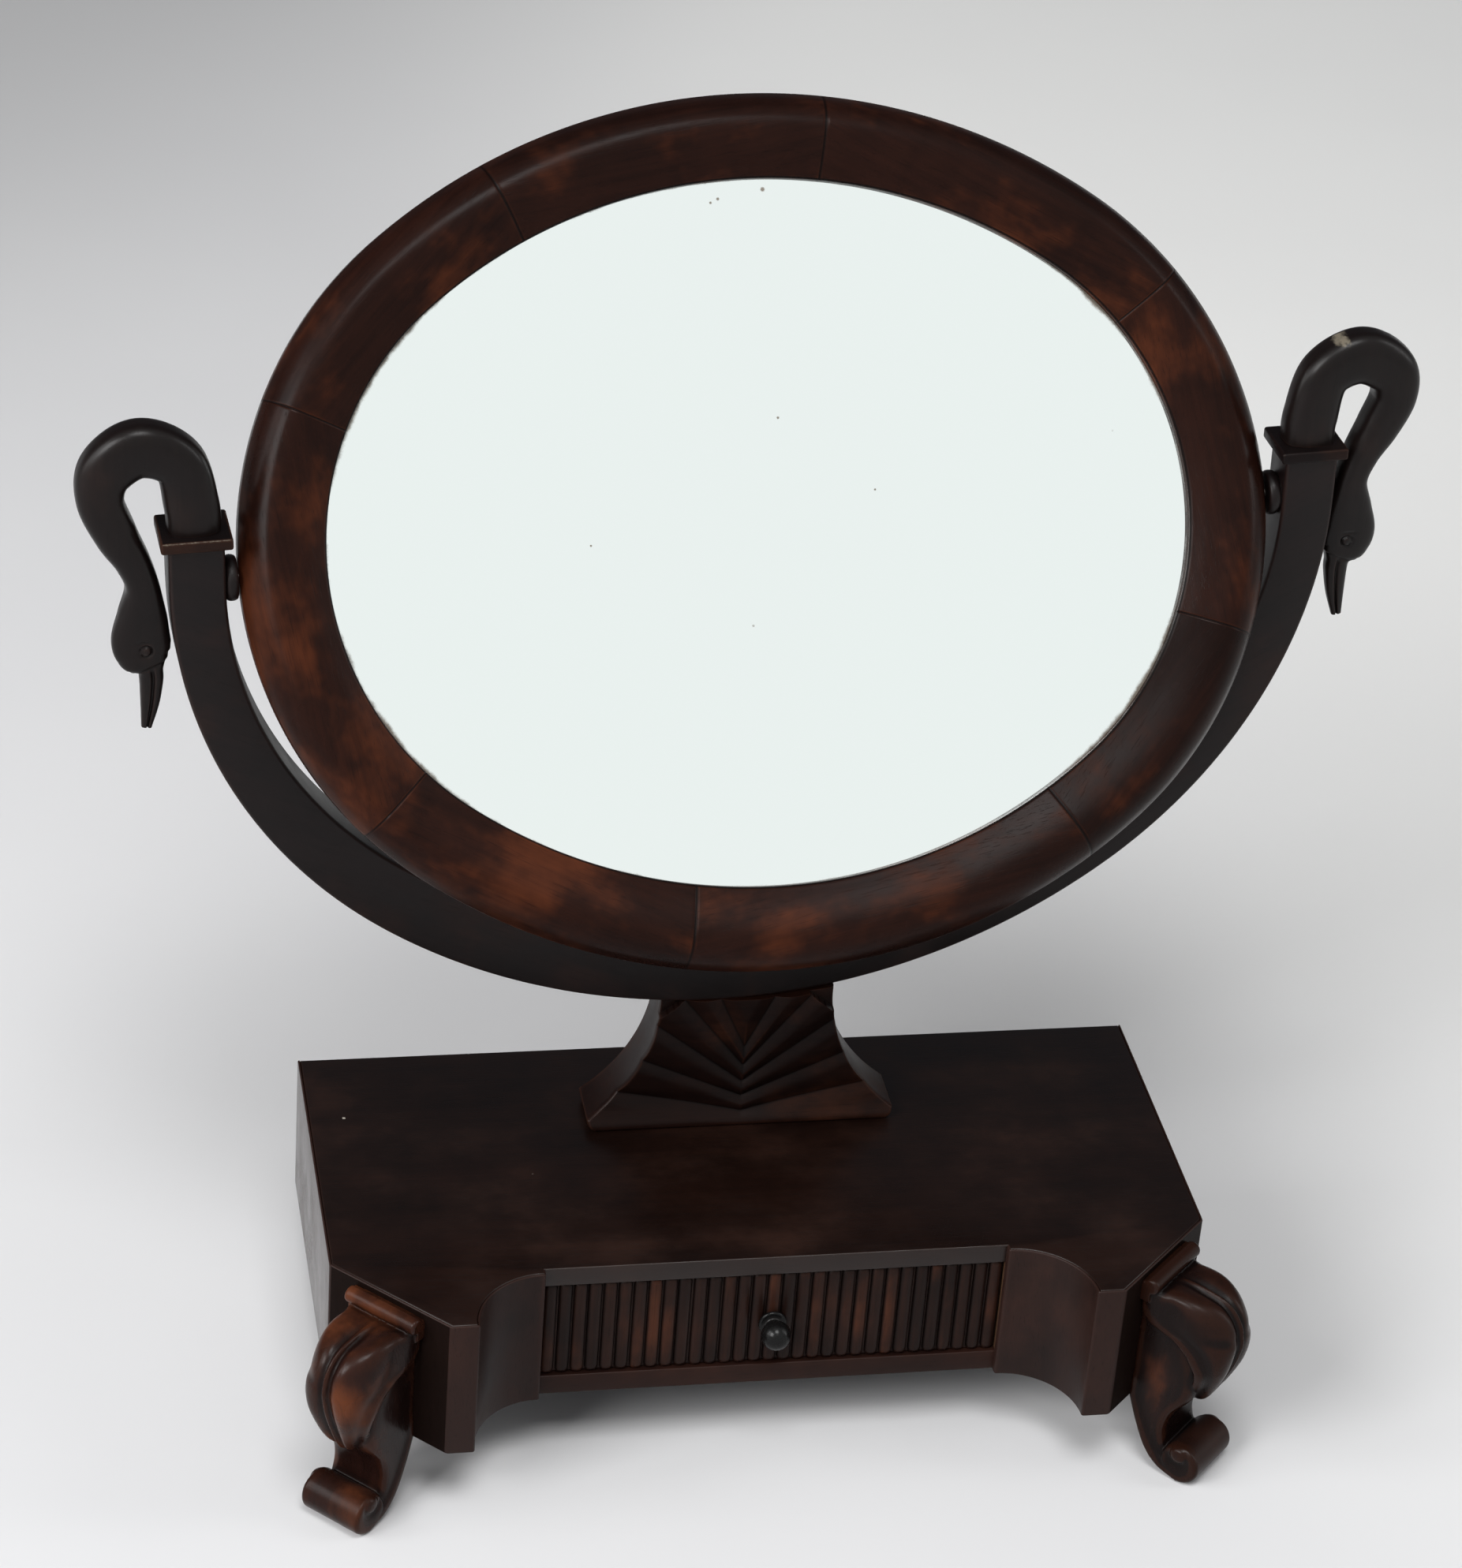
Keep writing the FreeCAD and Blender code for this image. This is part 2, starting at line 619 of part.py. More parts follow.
def stub_tenon(gap):
    """Stub under the pedestal that enters the case top, grown by a gap."""
    wide, deep = pedestal_foot_width / 2 - stub_side + gap, pedestal_depth / 2 - stub_front + gap
    return block((-wide, wide), (pedestal_y - deep, pedestal_y + deep), (z_ceiling + stub_wall - gap, z_top))


def pedestal():
    """Flared block with the fan on its face, a saddle for the yoke, a mortise and a stub below."""
    body = panel(pedestal_outline(), -pedestal_depth / 2, pedestal_depth / 2)
    top_half, ear_low = pedestal_top_width / 2, pedestal_height - ear_height
    inner = V(top_half - ear_width, pedestal_height)
    outer = [V(2 * top_half, pedestal_height), V(2 * top_half, ear_low), V(top_half, ear_low)]
    ear = segments(inner, *outer, inner)
    ear_cut = panel(ear, -pedestal_depth, ear_depth - pedestal_depth / 2)
    cutters = [ear_cut, mirrored(ear_cut)]
    for index in range(fan_count):
        apex = fan_first + fan_step * index + fan_growth * index ** 2
        groove = fan_groove(apex, fan_angle + fan_turn * index)
        groove.translate(V(0, -pedestal_depth / 2, 0))
        cutters += [groove, mirrored(groove)]
    body = body.cut(cutters)
    body.translate(V(0, pedestal_y, z_top))
    saddle = panel(oval(yoke_half_span, yoke_drop, 180, 360)
                   + segments(V(yoke_half_span, 0), V(-yoke_half_span, 0)), -case_depth, case_depth)
    cutters = [placed(cutter, yoke_place) for cutter in (saddle, yoke_tenon(tenon_gap))]
    return body.fuse(stub_tenon(0)).cut(cutters)


parts["pedestal"] = pedestal()
parts["case_top"] = parts["case_top"].cut(stub_tenon(tenon_gap))


# Oval frame, glass and back: drawn upright about the pivot axis, tilted, then hung in the yoke.

mirror_place = yoke_place.multiply(FreeCAD.Placement(V(), FreeCAD.Rotation(V(1, 0, 0), -mirror_tilt)))


def sight_point(angle):
    """Point of the sight oval and the direction straight out from it."""
    centre, radius = oval_centre(sight_half_width, sight_half_height, angle)
    out = V(math.cos(math.radians(angle)), 0, math.sin(math.radians(angle)))
    return V(centre.x, 0, centre.y) + out * radius, out


def ring_section(radius):
    """Section of the frame at a radius: sight edge, cushion face, outer wall, back and rebate."""
    def at(outward, forward):
        return V(radius + outward, glass_y - forward)

    sight, edge = at(0, ring_sight), at(ring_width, -ring_edge)
    cushion = flats(sight, at(crown_place * ring_width, ring_crown), edge, ring_flats)
    return face_of(cushion + segments(edge, at(ring_width, -ring_back), at(rebate_width, -ring_back),
                                      at(rebate_width, 0), at(0, 0), sight))


def ring_piece(start, end):
    """One piece of the frame between two joints."""
    runs = []
    stops = oval_stops(start, end)
    for first, last in zip(stops, stops[1:]):
        centre, radius = oval_centre(sight_half_width, sight_half_height, (first + last) / 2)
        run = ring_section(radius).revolve(V(), V(0, -1, 0), last - first)
        run.rotate(V(), V(0, -1, 0), first)
        run.translate(V(centre.x, 0, centre.y))
        runs.append(run)
    return runs[0].fuse(runs[1:]) if len(runs) > 1 else runs[0]


def oval_plate(margin, front, thickness):
    """Oval sheet that lies in the rebate, with its front a given way behind the front of the glass."""
    outline = oval(sight_half_width + margin, sight_half_height + margin, 0, 360)
    return panel(outline, glass_y + front, glass_y + front + thickness)


def back_wedge(angle):
    """Small block glued in the rebate behind the back board."""
    point, out = sight_point(angle)
    behind = glass_y + glass_thickness + board_thickness
    wedge = block((rebate_width - rebate_gap - wedge_width, rebate_width - 2 * rebate_gap),
                  (behind, behind + wedge_thickness), (-wedge_length / 2, wedge_length / 2))
    wedge.rotate(V(), V(0, 1, 0), -math.degrees(math.atan2(out.z, out.x)))
    wedge.translate(point)
    return wedge


bores = [pin_hole, mirrored(pin_hole)]
joint_ends = ring_joints[1:] + (ring_joints[0] + 360,)
runs = list(zip(ring_joints, joint_ends))
sheet_margin = rebate_width - rebate_gap
hung = {"oval_frame": Part.makeCompound([ring_piece(start, end).cut(bores) for start, end in runs]),
        "mirror_glass": oval_plate(sheet_margin, 0, glass_thickness),
        "back_board": oval_plate(sheet_margin, glass_thickness, board_thickness),
        "back_wedges": Part.makeCompound([back_wedge((start + end) / 2) for start, end in runs])}
for name, shape in hung.items():
    parts[name] = placed(shape, mirror_place)


# The origin is on the floor, under the middle of the whole object's box.

extent = Part.makeCompound(list(parts.values())).optimalBoundingBox()
to_origin = V(-(extent.XMin + extent.XMax) / 2, -(extent.YMin + extent.YMax) / 2, 0)
os.makedirs("parts", exist_ok=True)
for name, shape in parts.items():
    shape.translate(to_origin)
    shape.exportStep("parts/%s.step" % name)
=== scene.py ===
"""Swing toilet mirror: a low mahogany case with one reeded drawer and scroll feet, a carved pedestal, and an
oval mirror hung between the swan-headed arms of a crescent yoke. Lengths are in millimetres until they reach a mesh."""
import json
import math
import bmesh
import bpy
import numpy as np
from mathutils import Matrix, Vector


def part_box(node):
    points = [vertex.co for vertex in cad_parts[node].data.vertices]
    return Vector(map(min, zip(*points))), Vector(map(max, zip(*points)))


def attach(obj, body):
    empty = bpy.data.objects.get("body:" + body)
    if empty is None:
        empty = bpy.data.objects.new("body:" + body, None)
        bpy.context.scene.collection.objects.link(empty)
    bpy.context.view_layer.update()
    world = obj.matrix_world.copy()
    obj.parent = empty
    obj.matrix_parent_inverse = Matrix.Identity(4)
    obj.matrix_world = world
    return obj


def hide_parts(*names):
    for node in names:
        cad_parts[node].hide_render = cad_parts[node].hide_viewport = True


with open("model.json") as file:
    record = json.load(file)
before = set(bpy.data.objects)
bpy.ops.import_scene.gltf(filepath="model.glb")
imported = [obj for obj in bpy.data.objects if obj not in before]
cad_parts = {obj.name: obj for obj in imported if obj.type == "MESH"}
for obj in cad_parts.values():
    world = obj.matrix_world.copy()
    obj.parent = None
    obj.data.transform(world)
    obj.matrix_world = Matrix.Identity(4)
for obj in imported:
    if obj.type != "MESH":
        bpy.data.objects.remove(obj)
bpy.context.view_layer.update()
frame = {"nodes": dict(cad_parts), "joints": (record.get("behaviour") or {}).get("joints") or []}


# Case bottom: a mahogany board, cut to the plan of the whole case: straight sides and back, canted front
# corners, flat posts, scooped coves and the lower rail under the drawer. Its edges are rubbed round.
# Its mesh, weathering and wood come from the helpers that the later pieces use too.

MM = 0.001
TURN = 2 * math.pi


def corners(node):
    """Lowest and highest corner of a CAD node, in millimetres."""
    return [np.array(corner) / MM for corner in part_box(node)]


def weave(rows, columns, round_rows=False, round_columns=False):
    """Quads of a grid: corner (i, j) joins (i, j+1), (i+1, j+1) and (i+1, j), closed round where asked."""
    index = np.arange(rows * columns).reshape(rows, columns)
    if round_rows:
        index = np.vstack([index, index[:1]])
    if round_columns:
        index = np.hstack([index, index[:, :1]])
    return np.stack([index[:-1, :-1], index[:-1, 1:], index[1:, 1:], index[1:, :-1]], -1).reshape(-1, 4)


def tube(grid):
    """Closed shell from rings of points: quads between neighbouring rings and a flat face on the two ends."""
    rows, columns = grid.shape[:2]
    ends = [list(range(columns))[::-1], list(range((rows - 1) * columns, rows * columns))]
    return grid.reshape(-1, 3), weave(rows, columns, round_columns=True).tolist() + ends


def new_mesh(name, points, faces):
    """Mesh from millimetres, with doubles merged and every face turned outward."""
    mesh = bpy.data.meshes.new(name)
    mesh.from_pydata((points * MM).tolist(), [], faces)
    work = bmesh.new()
    work.from_mesh(mesh)
    bmesh.ops.remove_doubles(work, verts=work.verts, dist=1e-7)
    bmesh.ops.recalc_face_normals(work, faces=work.faces)
    work.to_mesh(mesh)
    work.free()
    return mesh


def read(mesh, what, size, kind=np.float32):
    """Whole array of one property of a mesh's vertices or edges."""
    items = mesh.edges if what == "vertices" else mesh.vertices
    values = np.empty(len(items) * size, kind)
    items.foreach_get(what, values)
    return values.reshape(-1, size)


def write_attribute(mesh, name, values):
    """Stores a number or a vector for every vertex."""
    kind, key = ("FLOAT", "value") if values.ndim == 1 else ("FLOAT_VECTOR", "vector")
    attribute = mesh.attributes.new(name, kind, "POINT")
    attribute.data.foreach_set(key, values.astype(np.float32).ravel())


def spread(values, edges, times):
    """Evens out values over the surface: each pass takes half of the mean of the neighbours."""
    count = np.bincount(edges.ravel(), minlength=len(values)).clip(1)
    for _ in range(times):
        total = (np.bincount(edges[:, 0], values[edges[:, 1]], len(values))
                 + np.bincount(edges[:, 1], values[edges[:, 0]], len(values)))
        values = (values + total / count) / 2
    return values


def weather(mesh, radius=3.0, times=2, joints=0):
    """Finds where hands rub, and the creases that the finish darkens with grime and painted shade.

    The bend at a vertex is the mean over its edges of twice the height above the neighbour, over the length
    squared. Ridge is a bend outward, crease a bend inward, each full where the curve has the given radius.
    Joints are lines by a gap between two pieces, where grime and painted shade darken the wood."""
    points, normals = read(mesh, "co", 3), read(mesh, "normal", 3)
    edges = read(mesh, "vertices", 2, np.int32)
    run = points[edges[:, 1]] - points[edges[:, 0]]
    square = (run ** 2).sum(1).clip(1e-12)
    ahead = -2 * (run * normals[edges[:, 0]]).sum(1) / square
    behind = 2 * (run * normals[edges[:, 1]]).sum(1) / square
    total = np.bincount(edges[:, 0], ahead, len(points)) + np.bincount(edges[:, 1], behind, len(points))
    bend = spread(total / np.bincount(edges.ravel(), minlength=len(points)).clip(1), edges, times)
    write_attribute(mesh, "ridge", (bend * radius * MM).clip(0, 1) * (1 - joints))
    write_attribute(mesh, "crease", np.maximum((-bend * radius * MM).clip(0, 1), joints))


def make_piece(name, mesh, finish, body, replaces, sharp=40):
    """Object for a mesh: smooth but for edges sharper than an angle, finished, and riding on a body."""
    mesh.shade_smooth()
    mesh.set_sharp_from_angle(angle=math.radians(sharp))
    mesh.materials.append(finish)
    piece = bpy.data.objects.new(name, mesh)
    bpy.context.scene.collection.objects.link(piece)
    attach(piece, body)
    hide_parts(*replaces)


def grain_along(mesh, along, offset):
    """Stores the wood's own coordinates in metres: first along the grain, then two ways across it.

    The offset moves each board, or each vertex, to its own place in the log."""
    along = np.asarray(along, float)
    across = np.cross(along, (0.31, 0.42, 0.85))
    across /= np.linalg.norm(across)
    axes = np.stack([along / np.linalg.norm(along), across, np.cross(along, across)])
    write_attribute(mesh, "grain", read(mesh, "co", 3) @ axes.T + np.asarray(offset))


def stand_piece(name, node, points, faces, finish, along, offset, wear=(3.0, 2), sharp=40):
    """Wooden piece of the stand, in place of a CAD node: its mesh, its grain and its wear."""
    mesh = new_mesh(name, points, faces)
    grain_along(mesh, along, offset)
    weather(mesh, *wear)
    make_piece(name, mesh, finish, "base", replaces=[node], sharp=sharp)
    return mesh


class Flow:
    """A socket in a finish. Sums, products and powers of values add Math nodes."""

    def __init__(self, tree, socket=None):
        self.tree, self.socket = tree, socket

    def node(self, kind, settings=None, inputs=None, output=0):
        """Adds a node. Its settings come first, then its inputs' values or links."""
        node = self.tree.nodes.new(kind)
        for key, value in (settings or {}).items():
            setattr(node, key, value)
        for key, value in (inputs or {}).items():
            if isinstance(value, Flow):
                self.tree.links.new(value.socket, node.inputs[key])
            else:
                node.inputs[key].default_value = value
        return Flow(self.tree, node.outputs[output] if node.outputs else None)

    def maths(self, operation, first, second):
        """A Math node on two values."""
        return self.node("ShaderNodeMath", {"operation": operation}, {0: first, 1: second})

    def __add__(self, other):
        return self.maths("ADD", self, other)

    def __sub__(self, other):
        return self.maths("SUBTRACT", self, other)

    def __rsub__(self, other):
        return self.maths("SUBTRACT", other, self)

    def __mul__(self, other):
        return self.maths("MULTIPLY", self, other)

    __radd__, __rmul__ = __add__, __mul__

    def step(self, low, high):
        """Rises smoothly from 0 to 1 between two values."""
        return self.node("ShaderNodeMapRange", {"interpolation_type": "SMOOTHSTEP"},
                         {"Value": self, "From Min": low, "From Max": high})

    def noise(self, stretch, detail=2.0, roughness=0.5):
        """Noise on a vector that is first multiplied along its three axes."""
        scaled = self.node("ShaderNodeMapping", {"vector_type": "TEXTURE"},
                           {"Vector": self, "Scale": [1 / size for size in stretch]})
        return self.node("ShaderNodeTexNoise", inputs={"Vector": scaled, "Scale": 1.0, "Detail": detail,
                                                       "Roughness": roughness})

    def blend(self, first, second):
        """Colour between two colours, by this value."""
        mix = {"data_type": "RGBA", "clamp_factor": True}
        ends = {key: value if isinstance(value, Flow) else (*value, 1) for key, value in ((6, first), (7, second))}
        return self.node("ShaderNodeMix", mix, {0: self, **ends}, 2)


def new_finish(name):
    """Empty material, as the flow that its nodes start from."""
    material = bpy.data.materials.new(name)
    material.use_nodes = True
    material.node_tree.nodes.clear()
    return material, Flow(material.node_tree)


def surface(start, inputs):
    """Principled surface with its output. Linked inputs vary over the piece, plain ones are set on it."""
    shader = start.node("ShaderNodeBsdfPrincipled", inputs=inputs)
    start.node("ShaderNodeOutputMaterial", inputs={"Surface": shader})


def attribute(start, name, output="Fac"):
    """A number or a vector stored on the mesh."""
    return start.node("ShaderNodeAttribute", {"attribute_name": name}, output=output)


def mahogany(name, deep, body, glow, rubbed=0.35, polish=0.3, specks=0.0, patches=0.35, creases_grime_and_shade=0.5, gloss=0.18):
    """French-polished mahogany.

    Colour runs from deep to body by broad stripes, fine streaks and a cross figure along the grain, to glow in
    cloudy patches and where ridges are rubbed, and darkens in pores, and in creases with grime and painted shade.
    The polish dulls there too, and is gone from bare spots."""
    paint_speck, bare_wood = (0.42, 0.38, 0.33), (0.14, 0.12, 0.09)
    material, start = new_finish(name)
    grain = attribute(start, "grain", "Vector")
    ridge, crease, tone = (attribute(start, key) for key in ("ridge", "crease", "tone"))
    stripes = grain.noise((7, 42, 42), 3, 0.55)
    streaks = grain.noise((16, 330, 330), 3, 0.6)
    figure = grain.noise((55, 14, 14), 2, 0.5)
    clouds = grain.noise((17, 23, 23), 4, 0.6)
    pores = grain.noise((70, 1900, 1900), 1, 0.5).step(0.60, 0.74)
    wood = (stripes * 0.50 + streaks * 0.34 + figure * 0.26 + tone).step(0.34, 0.80)
    colour = wood.blend(deep, body)
    warm = (clouds + tone * 0.8).step(0.50, 0.74) * patches
    worn = (ridge * 1.3 + clouds * 1.6 - 1.0).step(0.10, 0.95) * rubbed
    colour = (warm * (0.4 + wood) + worn).blend(colour, glow)
    # Creases and joints are blended toward a dark grime colour: real grime, and painted shade in the hollows.
    grime_and_shade = [0.35 * share for share in deep]
    colour = (pores * 0.35 + crease * creases_grime_and_shade).blend(colour, grime_and_shade)
    roughness = polish + 0.16 * clouds.step(0.35, 0.75) + 0.10 * worn + 0.10 * crease + 0.05 * pores
    if specks:
        spots = grain.node("ShaderNodeTexVoronoi", {"feature": "F1"}, {"Vector": grain, "Scale": 26.0})
        few = grain.noise((61, 61, 61), 0).step(0.55, 0.57)
        dots = (1 - spots.step(0.016, 0.026)) * few * specks
        colour = dots.blend(colour, paint_speck)
    bare = (attribute(start, "bare") + 0.8 * grain.noise((420, 420, 420), 3, 0.7)).step(0.78, 1.15)
    colour = bare.blend(colour, bare_wood)
    relief = pores * -0.5 + streaks * 0.22 + grain.noise((260, 260, 260), 2) * 0.10
    normal = start.node("ShaderNodeBump", inputs={"Strength": 0.22, "Distance": 0.00025, "Height": relief})
    surface(start, {"Base Color": colour, "Roughness": roughness, "Normal": normal, "Specular IOR Level": gloss})
    return material


def offset_loop(loop, inset):
    """Closed outline moved inward: each corner goes along the sum of its two sides' normals."""
    side = np.roll(loop, -1, 0) - loop
    normal = np.stack([-side[:, 1], side[:, 0]], 1) / np.linalg.norm(side, axis=1)[:, None]
    before = np.roll(normal, 1, 0)
    return loop + inset * (normal + before) / (1 + (normal * before).sum(1))[:, None]


def slab(loop, low, high, ease):
    """Board of a plan outline between two heights, with both edges eased as quarter rounds."""
    turn = np.linspace(0, math.pi / 2, 5)
    inset = ease * (1 - np.concatenate([np.sin(turn), np.cos(turn)]))
    height = np.concatenate([low + ease * (1 - np.cos(turn)), high - ease * (1 - np.sin(turn))])
    rings = [np.column_stack([offset_loop(loop, away), np.full(len(loop), z)]) for away, z in zip(inset, height)]
    return tube(np.array(rings))


case_low, case_high = corners("case_top")
case_origin = np.array([(case_low[0] + case_high[0]) / 2, case_low[1], 0])
half_width = (case_high[0] - case_low[0]) / 2
case_depth = case_high[1] - case_low[1]
top_z = case_high[2]
ceiling_z = case_low[2]
lift_z, floor_z = (corner[2] for corner in corners("case_bottom"))
opening_half = case_origin[0] - corners("corner_block_left")[1][0]
cant = 51.0
cove_radius = 35.0
rail_y = 39.0
board_ease = 0.9
skin = 0.9


def cove_arc(count):
    """Scoop of the cove on the right: a quarter circle about the corner of the drawer opening."""
    turn = np.linspace(0, math.pi / 2, count)
    return np.column_stack([opening_half + cove_radius * np.cos(turn), cove_radius * np.sin(turn)])


def case_plan(inset):
    """Plan of the boards from the back right corner round the front, drawn back behind the veneer."""
    wall = half_width - inset
    scoop = (cove_arc(20) - [opening_half, 0]) * (1 + inset / cove_radius) + [opening_half, 0]
    scoop = scoop[scoop[:, 1] > inset + 1]
    post = opening_half + math.sqrt((cove_radius + inset) ** 2 - inset ** 2)
    right = np.vstack([[[wall, case_depth], [wall, cant + 0.4 * inset], [half_width - cant - 0.4 * inset, inset],
                        [post, inset]], scoop, [[opening_half, rail_y]]])
    left = right[::-1] * [-1, 1]
    return np.vstack([right, left])[::-1]


rail_deep, rail_body, rail_glow = (0.0042, 0.0021, 0.0019), (0.0110, 0.0046, 0.0038), (0.034, 0.012, 0.007)
rail_wood = mahogany("rail_mahogany", rail_deep, rail_body, rail_glow, patches=0.25, gloss=0.12)
bottom_points, bottom_faces = slab(case_plan(skin), lift_z, floor_z, board_ease)
stand_piece("case_bottom_board", "case_bottom", bottom_points + case_origin, bottom_faces, rail_wood, (1, 0, 0),
            (0.3, 0.1, 0.7))


# Corner blocks, sides, back, guides and stops: softwood and plain mahogany boards, glued and pinned, sawn and
# planed but never polished. Their edges are broken a little, and the wood has gone brown and dry.

def dry_wood(name, pale, dark, along):
    """Bare old softwood: pale earlywood and dark latewood bands along one axis, dusty and matt."""
    material, start = new_finish(name)
    place = start.node("ShaderNodeTexCoord", output="Object")
    across = [240.0, 240.0, 240.0]
    across[along] = 9.0
    rings = place.noise(across, 3, 0.6)
    coarse = place.noise([0.18 * size for size in across], 2, 0.5)
    dust = place.noise((35, 35, 35), 4, 0.6)
    colour = (rings * 0.6 + coarse * 0.6).step(0.35, 0.80).blend(pale, dark)
    colour = (dust.step(0.45, 0.80) * 0.5).blend(colour, [0.45 * share for share in dark])
    normal = start.node("ShaderNodeBump", inputs={"Strength": 0.35, "Distance": 0.0004, "Height": rings})
    surface(start, {"Base Color": colour, "Roughness": 0.62 + 0.2 * dust, "Normal": normal,
                    "Specular IOR Level": 0.25})
    return material


def keep_node(node, finish, ease=0.6):
    """A CAD piece that stays: its sharp edges eased where asked, and finished."""
    piece = frame["nodes"][node]
    piece.data.materials.clear()
    piece.data.materials.append(finish)
    if ease:
        weld = piece.modifiers.new("weld", "WELD")
        weld.merge_threshold = 1e-6
        bevel = piece.modifiers.new("eased_edges", "BEVEL")
        bevel.width, bevel.segments, bevel.limit_method = ease * MM, 2, "ANGLE"
        bevel.angle_limit = math.radians(35)
        bevel.harden_normals = True


deal_pale, deal_dark = (0.150, 0.078, 0.036), (0.070, 0.033, 0.016)
deal = [dry_wood("deal_along_" + axis, deal_pale, deal_dark, index) for index, axis in enumerate("xyz")]
for node, index in (("corner_block_left", 2), ("corner_block_right", 2), ("case_side_left", 1), ("case_side_right", 1),
                    ("case_back", 0), ("drawer_guide_left", 1), ("drawer_guide_right", 1), ("drawer_stops", 0),
                    ("foot_tenon_left", 0), ("foot_tenon_right", 0)):
    keep_node(node, deal[index], 0.4)


# Case veneer: a sheet of mahogany on each end of the case, bent into the cove, round the post and the canted
# corner and along the side, from the underside to the top edge. It is glued, and its arrises are rubbed.

def eased_path(points, ease, steps=4):
    """Open path whose corners of over 20 degrees become short curves through the points beside them."""
    path = [points[:1]]
    for before, corner, after in zip(points, points[1:], points[2:]):
        back, ahead = before - corner, after - corner
        back, ahead = back / np.linalg.norm(back), ahead / np.linalg.norm(ahead)
        if (back * ahead).sum() > -math.cos(math.radians(20)):
            share = np.linspace(0, 1, steps + 1)[:, None]
            path.append(corner + ease * (back * (1 - share) ** 2 + ahead * share ** 2))
        else:
            path.append(corner[None])
    return np.vstack(path + [points[-1:]])


def path_normals(path):
    """Unit normals to the right of an open path, each from the points before and after it."""
    run = np.gradient(path, axis=0)
    normal = np.stack([run[:, 1], -run[:, 0]], 1)
    return normal / np.linalg.norm(normal, axis=1)[:, None]


veneer_proud = 0.30
veneer_wrap = 0.9
veneer_thick = 0.3
cove_deep, cove_body, cove_glow = (0.0040, 0.0025, 0.0024), (0.0095, 0.0050, 0.0045), (0.034, 0.014, 0.010)
cove_wood = mahogany("veneer_mahogany", cove_deep, cove_body, cove_glow, 0.45, 0.34, patches=0.25, gloss=0.13)
# The canted faces get a darker, duller copy of the veneer, a painted shade on the cant.
cant_shaded_deep, cant_shaded_body = (0.0024, 0.0016, 0.0013), (0.0052, 0.0030, 0.0024)
cant_painted_shade_wood = mahogany("canted_veneer_painted_shade", cant_shaded_deep, cant_shaded_body, cove_glow, 0.1, 0.4, patches=0.06, gloss=0.03)
side_deep, side_body = (0.0075, 0.0036, 0.0030), (0.0200, 0.0082, 0.0060)
side_wood = mahogany("side_veneer_mahogany", side_deep, side_body, cove_glow, 0.3, 0.14, gloss=0.3)


def end_veneer(side):
    """Veneer of one end: a thin upright section, turned in over both edges, carried along the plan. The side is
    another sheet than the cove and the post, and the canted face a darker, duller copy of the veneer: painted shade."""
    plan = np.vstack([[[opening_half, rail_y]], cove_arc(28)[::-1],
                      [[half_width - cant, 0], [half_width, cant], [half_width, case_depth]]])
    path = eased_path(plan, 1.1)
    turn = np.linspace(0, math.pi / 2, 5)
    away = np.concatenate([veneer_proud - veneer_wrap * (1 - np.sin(turn)),
                           veneer_proud - veneer_wrap * (1 - np.cos(turn)), [-veneer_wrap - veneer_thick] * 2])
    height = np.concatenate([top_z - veneer_wrap * (1 - np.cos(turn)), lift_z + veneer_wrap * (1 - np.sin(turn)),
                             [lift_z + 2, top_z - 2]])
    place = path[:, None, :] + path_normals(path)[:, None, :] * away[None, :, None]
    grid = np.dstack([place * [side, 1], np.broadcast_to(height, place.shape[:2])])
    points, faces = tube(grid)
    end = "right" if side > 0 else "left"
    mesh = stand_piece("case_veneer_" + end, "cove_" + end, points + case_origin, faces, cove_wood, (0, 0.12, 1),
                       (0.2 * side, 0.4, 0.1))
    mesh.materials.append(side_wood)
    mesh.materials.append(cant_painted_shade_wood)
    facing = np.empty(len(mesh.polygons) * 3, np.float32)
    mesh.polygons.foreach_get("normal", facing)
    aside, forward = facing[0::3] * side, -facing[1::3]
    # Sideways faces take the side sheet, and faces on the cant the darker copy, which is painted shade.
    sheet = np.where(aside > 0.95, 1, np.where(np.minimum(aside, forward) > 0.68, 2, 0))
    mesh.polygons.foreach_set("material_index", sheet.astype(np.int32))


for side in (-1, 1):
    end_veneer(side)


# Case top: one wide mahogany board with a cloudy figure, the same plan as the bottom, eased all round. Its front
# edge is the upper rail. The polish has a few pale specks.

top_deep, top_body, top_glow = (0.0030, 0.0014, 0.0011), (0.0072, 0.0028, 0.0019), (0.021, 0.0072, 0.0038)
top_wood = mahogany("top_mahogany", top_deep, top_body, top_glow, polish=0.27, specks=0.8, patches=0.32, gloss=0.33)
top_points, top_faces = slab(case_plan(skin), ceiling_z, top_z, board_ease)
stand_piece("case_top_board", "case_top", top_points + case_origin, top_faces, top_wood, (1, 0, 0), (0.12, 0.33, 0.05))


# Front feet: each is carved from one block of mahogany, glued and tenoned to the canted corner. A roll lies over a
# knee carved as a leaf of two full lobes with a thin rib in the cleft. The leg sweeps back and out to a toe scroll.
# A raised band follows the back edge round the eye of the scroll, and the side is hollowed inside it.

foot_height = corners("front_foot_right")[1][2]
foot_reach = 48.0
foot_half = 17.5
toe_radius = 10.3
toe_x = 31.2
eye_x = 30.5
eye_z = 16.0
eye_radius = 4.5
eye_rise = 1.0
hollow_depth = 1.3          # of the hollowed side and of the shade round the eye
shade_start, shade_long = 2.5, 4.4  # radians: where the shade is widest, and how far it winds round
shade_wide, shade_least = 4.5, 0.5
side_ease = 0.3
front_round, front_run = 4.5, 2.6   # the leg's front arris: how much comes off, and over which way
back_round, back_run = 1.2, 0.6
toe_rim = 1.8
foot_grit = 0.5             # voxel of the carved skin
roll_radius = 4.0
roll_half = 20.5
roll_x = 5.0
backing_low = 13.0          # backing behind the roll, from this far below the roll's top
backing_drop = 2.0          # to this far below it
backing_ease = 0.8
